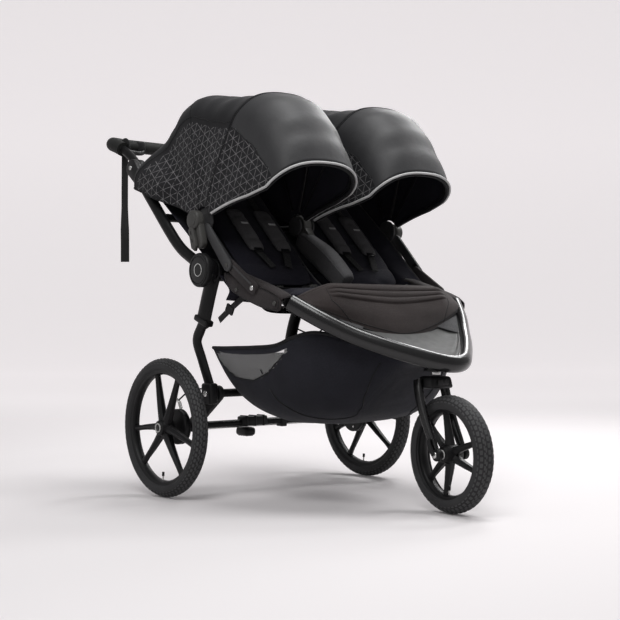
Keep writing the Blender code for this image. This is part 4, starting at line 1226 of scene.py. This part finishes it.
def build_shoulder_straps(name, x):
    """Two padded shoulder straps with their sliders and their reflective tags."""
    seat_back = "seat_back_" + name
    for tab, off in (("a", -0.0500), ("b", 0.0500)):
        strap_pad = cushion("shoulder_pad_%s_%s" % (name, tab), P(x + off, -0.150, 0.7665) + OFF_BACK * 0.004,
                            WIDE, UP_BACK, OFF_BACK, (0.056, 0.180), 0.0140, PAD_CLOTH, seat_back,
                            puffs=(-0.55, 0.55), seam_depth=0.003, cells=(18, 40), back=0.2)
        if tab == "a":
            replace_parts(strap_pad, "shoulder_harness_" + name)
        line = [(x + off, -0.020, 0.8915), (x + off, -0.090, 0.8270), (x + off * 0.98, -0.206, 0.7130),
                (x + off * 0.75, -0.240, 0.6770), (x + off * 0.55, -0.258, 0.6560)]
        tape = curved([P(*p) + OFF_BACK * 0.003 for p in line], 8)
        swept("shoulder_tape_%s_%s" % (name, tab), tape, section_box(0.0240, 0.0022, 0.0008), WEBBING,
              seat_back, up=OFF_BACK)
        place = P(x + off * 0.98, -0.2130, 0.7070) + OFF_BACK * 0.006
        block("shoulder_slider_%s_%s" % (name, tab), place, (0.030, 0.020, 0.0040), PLASTIC, seat_back,
              0.0015, tilt=math.pi / 4)
        mark = P(x + off, -0.140, 0.7765) + OFF_BACK * 0.0190
        block("shoulder_tag_%s_%s" % (name, tab), mark, (0.0240, 0.0070, 0.0014), PIPING, seat_back, 0.0005,
              tilt=math.pi / 4)


def build_lap_straps(name, x):
    """The buckle, the lap tapes with their sliders, and the crotch tape."""
    front = "front_frame"
    buckle = block("harness_buckle_%s_body" % name, P(x, -0.398, 0.5945), (0.050, 0.044, 0.014), PLASTIC,
                   front, 0.006)
    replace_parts(buckle, "harness_buckle_" + name)
    disc("harness_button_" + name, P(x, -0.400, 0.6020), 0.0110, 0.0035, GREY, front, 0.001, 32, axis="Z")
    for turn in (-1, 1):
        tape = curved([P(x + turn * 0.024, -0.392, 0.5935), P(x + turn * 0.070, -0.365, 0.5945),
                       P(x + turn * 0.108, -0.330, 0.5970)], 6)
        swept("lap_tape_%s_%s" % (name, "ab"[turn > 0]), tape, section_box(0.0240, 0.0020, 0.0008), WEBBING,
              front)
        place = P(x + turn * 0.082, -0.356, 0.5965)
        for bar in (-1, 0, 1):
            block("lap_slider_%s_%s_%d" % (name, "ab"[turn > 0], bar + 1),
                  place + Vector((bar * 0.0085, 0, 0.002)), (0.0030, 0.0290, 0.0042), GREY, front, 0.001,
                  turn_z=turn * 0.5)
    crotch = curved([P(x, -0.412, 0.5930), P(x, -0.445, 0.5920), P(x, -0.470, 0.5820)], 6)
    swept("crotch_tape_" + name, crotch, section_box(0.0300, 0.0022, 0.0008), WEBBING, front, up=(0, 0, 1))


def build_seat_base(name, side):
    """The hammock of cloth that a seat pad lies on."""
    base = []
    for j in range(25):
        y = -0.235 - 0.255 * j / 24
        level = 0.583 - 0.020 * math.sin(math.pi * j / 24) - 0.010 * (j / 24) ** 2
        base.append([P(side * (0.006 + 0.288 * i / 30), y,
                       level + 0.016 * (1 - j / 24) * abs(2 * i / 30 - 1) ** 5 - 0.010) for i in range(31)])
    hammock = grid_piece("seat_base_" + name, base, SEAT_CLOTH, "front_frame", 0.0016)


def build_seats():
    for name, side in SIDES:
        build_cushions(name, side * SEAT_X)
        build_shoulder_straps(name, side * SEAT_X)
        build_lap_straps(name, side * SEAT_X)
        build_wings(name, side)
        build_liner(name, side)
        build_seat_base(name, side)


def build_liner(name, side):
    """The cloth behind a seat, from the seat base up to the top of the back and out to the upright."""
    climb = curved([(0, -0.242, 0.562), (0, -0.258, 0.588), (0, -0.233, 0.614), (0, -0.175, 0.661),
                    (0, -0.090, 0.729),
                    (0, 0.012, 0.810), (0, 0.078, 0.862), (0, 0.132, 0.905), (0, 0.172, 0.938)], 6)
    rows = []
    for point in climb:
        row = []
        for i in range(33):
            x = 0.0006 + 0.3474 * i / 32
            sag = 0.006 * math.sin(math.pi * i / 32)
            fold = 0.0015 * noise.noise(Vector((x * 14, point.y * 14, side)))
            row.append(P(side * x, point.y + sag, point.z - sag + fold))
        rows.append(row)
    liner = grid_piece("seat_liner_" + name, rows, SEAT_CLOTH, None, 0.0020)
    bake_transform(liner)


def build_wings(name, side):
    """The cloth walls of a seat, with piping along their front edge."""
    inner_edge = [(0.030, 0.090, 0.985), (0.036, 0.010, 0.890), (0.048, -0.060, 0.818),
                  (0.057, -0.100, 0.776),
                  (0.060, -0.166, 0.722), (0.061, -0.190, 0.706), (0.062, -0.213, 0.690),
                  (0.062, -0.294, 0.618), (0.060, -0.365, 0.588), (0.060, -0.450, 0.586)]
    inner_root = [(0.048, 0.085, 0.965), (0.045, 0.030, 0.905), (0.043, 0.000, 0.868), (0.043, -0.060, 0.800),
                  (0.042, -0.130, 0.732), (0.042, -0.160, 0.702), (0.042, -0.190, 0.672),
                  (0.043, -0.262, 0.602), (0.044, -0.360, 0.562), (0.044, -0.450, 0.556)]
    outer_edge = [(0.316, 0.090, 0.990), (0.318, 0.030, 0.935), (0.326, -0.036, 0.890),
                  (0.342, -0.108, 0.816),
                  (0.348, -0.199, 0.726), (0.347, -0.255, 0.672), (0.334, -0.320, 0.622),
                  (0.314, -0.380, 0.594), (0.292, -0.435, 0.570)]
    outer_root = [(0.290, 0.085, 0.965), (0.290, 0.030, 0.905), (0.292, 0.000, 0.868), (0.293, -0.060, 0.800),
                  (0.293, -0.130, 0.732), (0.293, -0.160, 0.702), (0.293, -0.190, 0.672),
                  (0.292, -0.262, 0.604), (0.290, -0.360, 0.572), (0.288, -0.450, 0.562)]
    for part, edge, root in (("inner", inner_edge, inner_root), ("outer", outer_edge, outer_root)):
        edge = curved([(side * x, y, z) for x, y, z in edge], 8)
        root = curved([(side * x, y, z) for x, y, z in root], 8)
        bulge = -side if part == "outer" else side
        rows = []
        for a, b in zip(edge, root):
            row = []
            for i in range(13):
                t = i / 12
                spot = a.lerp(b, t) + Vector((bulge * 0.010 * math.sin(math.pi * t), 0, 0))
                spot.x += 0.003 * noise.noise(spot * 16)
                row.append(P(*spot))
            rows.append(row)
        wing = grid_piece("seat_wing_%s_%s" % (name, part), rows, SEAT_CLOTH, None, 0.0030)
        bm = bmesh.new()
        rope(bm, [row[0] for row in rows], 0.0024, 8)
        rope(bm, [row[4] for row in rows], 0.0010)
        piping = mesh_piece("seat_wing_%s_%s_piping" % (name, part), bm, DARK_GREY, None, 60)
        for piece in (wing, piping):
            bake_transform(piece)


def build_centre_sleeve():
    """The puffy sleeve on the tube between the two seats, with a double line of piping on each side."""
    line = [(0, -0.146, 0.752), (0, -0.200, 0.722), (0, -0.262, 0.684), (0, -0.325, 0.634),
            (0, -0.352, 0.612)]
    path = route(line, per_span=14)
    count = len(path) - 1
    scales = []
    for i in range(count + 1):
        t = i / count
        swell = 0.62 + 0.38 * max(0.0, math.sin(math.pi * t)) ** 0.5
        scales.append((swell + 0.02 * math.sin(17 * t), swell + 0.02 * math.sin(13 * t + 1)))
    sleeve = swept("centre_sleeve_cushion", path, section_box(0.052, 0.074, 0.021, 6), PAD_CLOTH, None,
                   up=(0, 0.55, 0.83), scales=scales, smooth=0)
    bm = bmesh.new()
    for turn in (-1, 1):
        for lift in (0.0, 0.0085):
            edge = []
            for i, point in enumerate(path):
                ahead = (path[min(i + 1, count)] - path[max(i - 1, 0)]).normalized()
                over = WIDE.cross(ahead).normalized()
                if over.z < 0:
                    over = -over
                out = WIDE * turn * (0.0235 * scales[i][0] + 0.0008)
                edge.append(point + out + over * (0.0230 * scales[i][1] - lift))
            rope(bm, edge, 0.0015, 8)
    welts = mesh_piece("centre_sleeve_piping", bm, DARK_GREY, None, 60)
    for piece in (sleeve, welts):
        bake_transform(piece)
    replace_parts(sleeve, "centre_sleeve")


# ---------------------------------------------------------------- front cloth, arms and tray
def panel_point(s, t):
    """A place on the leg-rest cloth: s runs across it from -1 to 1, and t down it from 0 to 1."""
    shoulder = max(0.0, (abs(s) - 0.64) / 0.36) ** 1.4
    top_y, top_z = -0.517 + 0.022 * shoulder, 0.600 - 0.040 * shoulder
    bottom_y = -0.520 - 0.074 * (1 - abs(s) ** 1.7)
    bottom_z = 0.600 - 0.146 * (1 - 0.64 * abs(s) ** 1.5)
    y = top_y + (bottom_y - top_y) * t - 0.012 * math.sin(math.pi * t) * (1 - shoulder)
    z = top_z + (bottom_z - top_z) * t
    channel = 0.0
    if t < 0.34:
        channel = 0.0060 * abs(math.sin(3 * math.pi * t / 0.34)) ** 0.6 * max(0.0, 1 - (abs(s) / 0.74) ** 12)
    x = 0.2985 * s
    fold = 0.0012 * noise.noise(Vector((x * 12, t * 5, 3.1)))
    return Vector((x, y - channel - fold, z + 0.3 * channel))


def panel_line(reach, steps, t, above):
    """A line across the leg-rest cloth, a little in front of it."""
    return [P(*panel_point(reach * (2 * i / steps - 1), t)) - Vector((0, above, 0)) for i in range(steps + 1)]


def build_leg_rest():
    rows = [[P(*panel_point(-1 + 2 * i / 110, j / 56)) for i in range(111)] for j in range(57)]
    panel = grid_piece("leg_rest_cloth", rows, PANEL_CLOTH, "front_frame", 0.0045)
    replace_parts(panel, "leg_rest_panel")
    top = [[P(*(panel_point(-1 + 2 * i / 80, 0) + Vector((0, back, rise)))) for i in range(81)]
           for back, rise in ((0, 0), (0.012, 0.0035), (0.027, 0.0005), (0.047, -0.010), (0.064, -0.022))]
    grid_piece("leg_rest_top_roll", top, PANEL_CLOTH, "front_frame", 0.0030)
    bm = bmesh.new()
    for level in (0.113, 0.227, 0.340):
        rope(bm, panel_line(0.96, 90, level, 0.0016), 0.0009)
    for turn in (-1, 1):
        rope(bm, [P(*panel_point(turn * (0.74 - 0.30 * max(0, t - 0.45)), t)) - Vector((0, 0.0022, 0))
                  for t in (0.02 + 0.96 * k / 40 for k in range(41))], 0.0012)
    rope(bm, panel_line(0.90, 90, 0.90, 0.0022), 0.0011)
    rope(bm, panel_line(1, 110, 0.995, 0.0010), 0.0024, 8)
    mesh_piece("leg_rest_seams", bm, BINDING, "front_frame", 60)
    for name, side in SIDES:
        gusset = []
        for i in range(25):
            t = i / 24
            tube = front_tube_point(side * (0.190 + 0.110 * t))
            hem = panel_point(side * (0.46 + 0.52 * t), 0.96)
            gusset.append([P(*(tube.lerp(hem, k / 8) + Vector((0, 0.004 * math.sin(math.pi * k / 8), 0))))
                           for k in range(9)])
        piece = grid_piece("foot_gusset_" + name, gusset, GUSSET_CLOTH, "front_frame", 0.0020)


def front_tube_point(x):
    """A place at the inner top of the front tube, where the tray and its cloth are held."""
    size = abs(x)
    for (a, ay, az), (b, by, bz) in zip(FRONT_LINE, FRONT_LINE[1:]):
        if size >= b:
            t = (a - size) / (a - b)
            inward = 0.010 + 0.004 * (1 - size / 0.313)
            return Vector((math.copysign(max(0.0, size - 0.010), x), ay + (by - ay) * t + inward,
                           az + (bz - az) * t + 0.013))
    return Vector((0, FRONT_LINE[-1][1], FRONT_LINE[-1][2]))


def build_foot_tray():
    """A shallow moulded tray that fills the nose of the front tube."""
    rows = []
    for k in range(19):
        t = k / 18
        row = []
        for i in range(81):
            x = 0.272 * math.sin(math.pi / 2 * (-1 + i / 40))
            front = front_tube_point(x)
            share = (x / 0.272) ** 2
            back = Vector((x * 0.97, -0.575 + 0.034 * share, 0.474 + 0.038 * share)).lerp(front, share ** 4)
            spot = back.lerp(front, t)
            spot.z -= 0.010 * math.sin(math.pi * min(1, t * 0.97)) * (1 - share)
            if 0.84 < t < 0.93:
                spot.z -= 0.0022
            row.append(P(*spot))
        rows.append(row)
    tray = grid_piece("foot_tray_shell", rows, TRAY_GREY, "front_frame", 0.0045, smooth=35)
    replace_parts(tray, "foot_plate")


def build_side_covers():
    outline = [(-0.235, 0.640), (-0.262, 0.634), (-0.300, 0.622), (-0.350, 0.608), (-0.400, 0.592),
               (-0.440, 0.578),
               (-0.470, 0.566), (-0.486, 0.553), (-0.478, 0.530), (-0.450, 0.531), (-0.420, 0.535),
               (-0.375, 0.547),
               (-0.330, 0.562), (-0.300, 0.573), (-0.272, 0.585), (-0.254, 0.600), (-0.240, 0.613),
               (-0.234, 0.627)]
    ring = curved([(0, y, z) for y, z in outline + outline[:1]], 4)[:-1]
    middle = Vector((0, -0.365, 0.580))
    for name, side in SIDES:
        bm = bmesh.new()
        rings = []
        for k in range(9):
            share = 1 - k / 9
            loop = []
            for point in ring:
                spot = middle.lerp(point, share)
                fold = 0.0012 * noise.noise(Vector((side, spot.y * 24, spot.z * 24)))
                x = 0.3470 + 0.0010 + 0.0050 * (1 - share ** 4) + fold
                loop.append(bm.verts.new(P(side * x, spot.y, spot.z)))
            rings.append(loop)
        centre = bm.verts.new(P(side * 0.3530, middle.y, middle.z))
        skin(bm, rings, capped=False)
        for a, b in zip(rings[-1], rings[-1][1:] + rings[-1][:1]):
            bm.faces.new((a, b, centre))
        cover = mesh_piece("side_cover_%s_cloth" % name, bm, COVER_CLOTH, None, 0)
        thicken(cover, 0.0025, -1)
        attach(cover, "front_frame")
        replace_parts(cover, "side_cover_" + name)
        bm = bmesh.new()
        hem = [P(side * 0.3492, *middle.lerp(p, 0.93).yz) for p in ring]
        rope(bm, hem + hem[:1], 0.0009)
        mesh_piece("side_cover_%s_stitch" % name, bm, BINDING, "front_frame", 60)
        for spot in ((-0.466, 0.549), (-0.300, 0.590)):
            rivet("side_rivet_%s_%d" % (name, -1000 * spot[0]), P(side * 0.3535, *spot), side, "front_frame",
                  0.0060, GREY)
        over = [[P(side * x, y, z) for x in (0.3475, 0.340, 0.325, 0.308, 0.298)] for y, z in
                ((-0.262, 0.634), (-0.300, 0.6235), (-0.350, 0.6085), (-0.400, 0.5930), (-0.440, 0.5800),
                 (-0.470, 0.5680), (-0.486, 0.5560))]
        for row in over:
            for i, rise in enumerate((0, 0.006, 0.009, 0.007, 0.0)):
                row[i].z += rise
        cap = grid_piece("rail_wrap_" + name, over, COVER_CLOTH, "front_frame", 0.0020)


def build_braces():
    top, knee, foot = (-0.179, 0.764), (-0.274, 0.657), (-0.377, 0.592)
    for name, side in SIDES:
        upper = slab("upper_brace_%s_sleeve" % name, arm_outline(top, knee, 0.0145, 0.0170), side * 0.3655,
                     0.0094, DARK_GREY, "upper_brace_" + name, 0.0035)
        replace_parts(upper, "upper_brace_" + name)
        lower = slab("lower_brace_%s_sleeve" % name, arm_outline(knee, foot, 0.0175, 0.0170), side * 0.3560,
                     0.0094, COVER_CLOTH, "lower_brace_" + name, 0.0030)
        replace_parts(lower, "lower_brace_" + name)
        slab("lower_brace_%s_ridge" % name, arm_outline((-0.290, 0.655), (-0.372, 0.603), 0.0030, 0.0030),
             side * 0.3600, 0.0040, DARK_GREY, "lower_brace_" + name, 0.0012)
        rivet("knee_rivet_" + name, P(side * 0.3690, *knee), side, "upper_brace_" + name, 0.0062, GREY)
        rivet("foot_rivet_" + name, P(side * 0.3600, *foot), side, "lower_brace_" + name, 0.0070)
        slab("knee_fork_" + name, arm_outline((-0.262, 0.671), knee, 0.0150, 0.0165), side * 0.3650, 0.0100,
             PLASTIC, "upper_brace_" + name, 0.0030)


# ---------------------------------------------------------------- basket, rails under the seat, straps
# The basket from back to front: y, half width, top and bottom.
STATIONS = ((-0.112, 0.300, 0.430, 0.412), (-0.130, 0.300, 0.430, 0.345), (-0.165, 0.300, 0.430, 0.276),
            (-0.215, 0.300, 0.431, 0.236), (-0.300, 0.299, 0.433, 0.216), (-0.390, 0.292, 0.439, 0.217),
            (-0.450, 0.279, 0.460, 0.226), (-0.505, 0.254, 0.473, 0.245), (-0.555, 0.212, 0.462, 0.288),
            (-0.605, 0.155, 0.438, 0.340), (-0.645, 0.105, 0.416, 0.374), (-0.675, 0.076, 0.402, 0.390))


def basket_section(place):
    """(y, half width, top, bottom) at a place along the basket, counted in stations."""
    lines = [curved([(i, s[k], 0) for i, s in enumerate(STATIONS)], 12) for k in range(4)]
    index = min(int(round(place * 12)), len(lines[0]) - 1)
    return tuple(line[index].y for line in lines)


def window_low(y):
    """The lower edge of the netted window in each side of the basket."""
    across = min(1.0, max(0.0, (-0.135 - y) / 0.305))
    return 0.405 - 0.082 * math.sin(math.pi * across) ** 0.8 + 0.034 * across


def build_basket():
    around = 96
    rows = []
    for k in range((len(STATIONS) - 1) * 12 + 1):
        y, half, top, bottom = basket_section(k / 12)
        row = []
        for i in range(around + 1):
            a = math.pi * i / around
            c, s = math.cos(a), math.sin(a)
            x = -half * math.copysign(abs(c) ** 0.55, c)
            z = top - (top - bottom) * s ** 0.7
            deep = s ** 0.5 * min(1.0, (top - bottom) / 0.1)
            wrinkle = 0.0045 * noise.noise(Vector((x * 7, y * 9, z * 5)))
            wrinkle += 0.0020 * noise.noise(Vector((x * 21, y * 24, 2)))
            pull = 1 + wrinkle / max(0.05, half) * deep
            row.append(P(x * pull, y, z + wrinkle * deep))
        rows.append(row)
    bm = bmesh.new()
    made = [[bm.verts.new(p) for p in row] for row in rows]
    for k, (a, b) in enumerate(zip(made, made[1:])):
        for i in range(around):
            face = bm.faces.new((a[i], a[i + 1], b[i + 1], b[i]))
            mid = (a[i].co + b[i + 1].co) / 2
            y, z = mid.y - AXLE_Y, mid.z
            _, _, top, _ = basket_section(k / 12)
            window = -0.440 < y < -0.135 and window_low(y) < z < top - 0.014 and abs(mid.x) > 0.20
            face.material_index = 1 if window else 0
    shell = mesh_piece("basket_cloth", bm, BASKET_CLOTH, None, 0)
    shell.data.materials.append(NET)
    thicken(shell, 0.0016)
    bm = bmesh.new()
    for turn in (0, around):
        rope(bm, [row[turn] for row in rows], 0.0048, 8)
    for mirror in (0, 1):
        hem = []
        for row in rows[14:66]:
            half_row = row[around // 2:] if mirror else row[around // 2::-1]
            want = window_low(row[0].y - AXLE_Y)
            hem.append(min(half_row, key=lambda spot: abs(spot.z - want)))
        rope(bm, curved(hem[::3], 3), 0.0026)
    for mirror in (0, 1):
        seam = []
        for k in range(52, 116, 2):
            share = math.sin(math.pi * (k - 52) / 64)
            i = int(round(5 + 37 * share ** 0.75))
            i = around - i if mirror else i
            seam.append(rows[k][i] + Vector(((1 if mirror else -1) * 0.0014, 0, -0.0008)))
        rope(bm, curved(seam[::2] + [seam[-1]], 4), 0.0022)
    bands = mesh_piece("basket_bands", bm, BINDING, None, 60)
    for piece in (shell, bands):
        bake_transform(piece)
    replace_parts(shell, "basket")


def build_seat_crossframe():
    half = [(-0.2965, -0.300, 0.6085), (-0.282, -0.300, 0.600), (-0.268, -0.300, 0.570),
            (-0.245, -0.300, 0.541), (-0.150, -0.300, 0.536), (0, -0.300, 0.536)]
    bar = swept("seat_cross_tube", route(both_sides(half)), section_round(0.022, 0.022), SATIN_PAINT,
                "front_frame", up=(0, 1, 0))
    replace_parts(bar, "seat_crossframe")
    swept("front_cross_tube", [P(-0.293, -0.462, 0.5405), P(0.293, -0.462, 0.5405)],
          section_round(0.022, 0.022), SATIN_PAINT, "front_frame")
    swept("middle_rail_tube", [P(0, -0.292, 0.537), P(0, -0.470, 0.541)], section_round(0.021, 0.021),
          SATIN_PAINT, "front_frame")


def build_straps_and_cables():
    for name, side in SIDES:
        line = route([(0.322, -0.292, 0.572), (0.323, -0.240, 0.545), (0.325, -0.178, 0.508)], side)
        strap = swept("fold_strap_" + name, line, section_box(0.0030, 0.0180, 0.001), WEBBING, None,
                      up=(0, -0.5, 0.8))
        clip = block("fold_clip_" + name, P(side * 0.3235, -0.226, 0.5375), (0.008, 0.034, 0.024), PLASTIC,
                     None, 0.003, tilt=0.5)
        for piece in (strap, clip):
            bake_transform(piece)
        run = [(0.3345, -0.064, 0.452), (0.3300, -0.080, 0.400), (0.3260, -0.100, 0.350),
               (0.3215, -0.106, 0.318)]
        wire("brake_cable_%s_upper" % name, route(run, side), 0.0026, CABLE, "rear_frame", 10)
        run = [(0.313, -0.106, 0.312), (0.322, -0.060, 0.310), (0.328, -0.020, 0.298), (0.330, 0.016, 0.278)]
        wire("brake_cable_%s_lower" % name, route(run, side), 0.0024, CABLE, "axle", 10)
    run = [(-0.010, -0.310, 0.522), (-0.020, -0.290, 0.500), (-0.018, -0.250, 0.474), (-0.010, -0.190, 0.470),
           (0.0, -0.128, 0.482)]
    loop = wire("under_seat_cable", route(run), 0.0024, CABLE, None, 10)
    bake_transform(loop)


build_camera()
build_floor()
build_lights()
build_wheels()
build_front_frame()
build_steering()
build_upper_frame()
build_centre_mount()
build_handlebar()
strap, strap_path, strap_length = build_wrist_strap()
build_rear_frame()
build_axle()
build_canopies()
build_seats()
build_centre_sleeve()
build_leg_rest()
build_foot_tray()
build_side_covers()
build_braces()
build_basket()
build_seat_crossframe()
build_straps_and_cables()
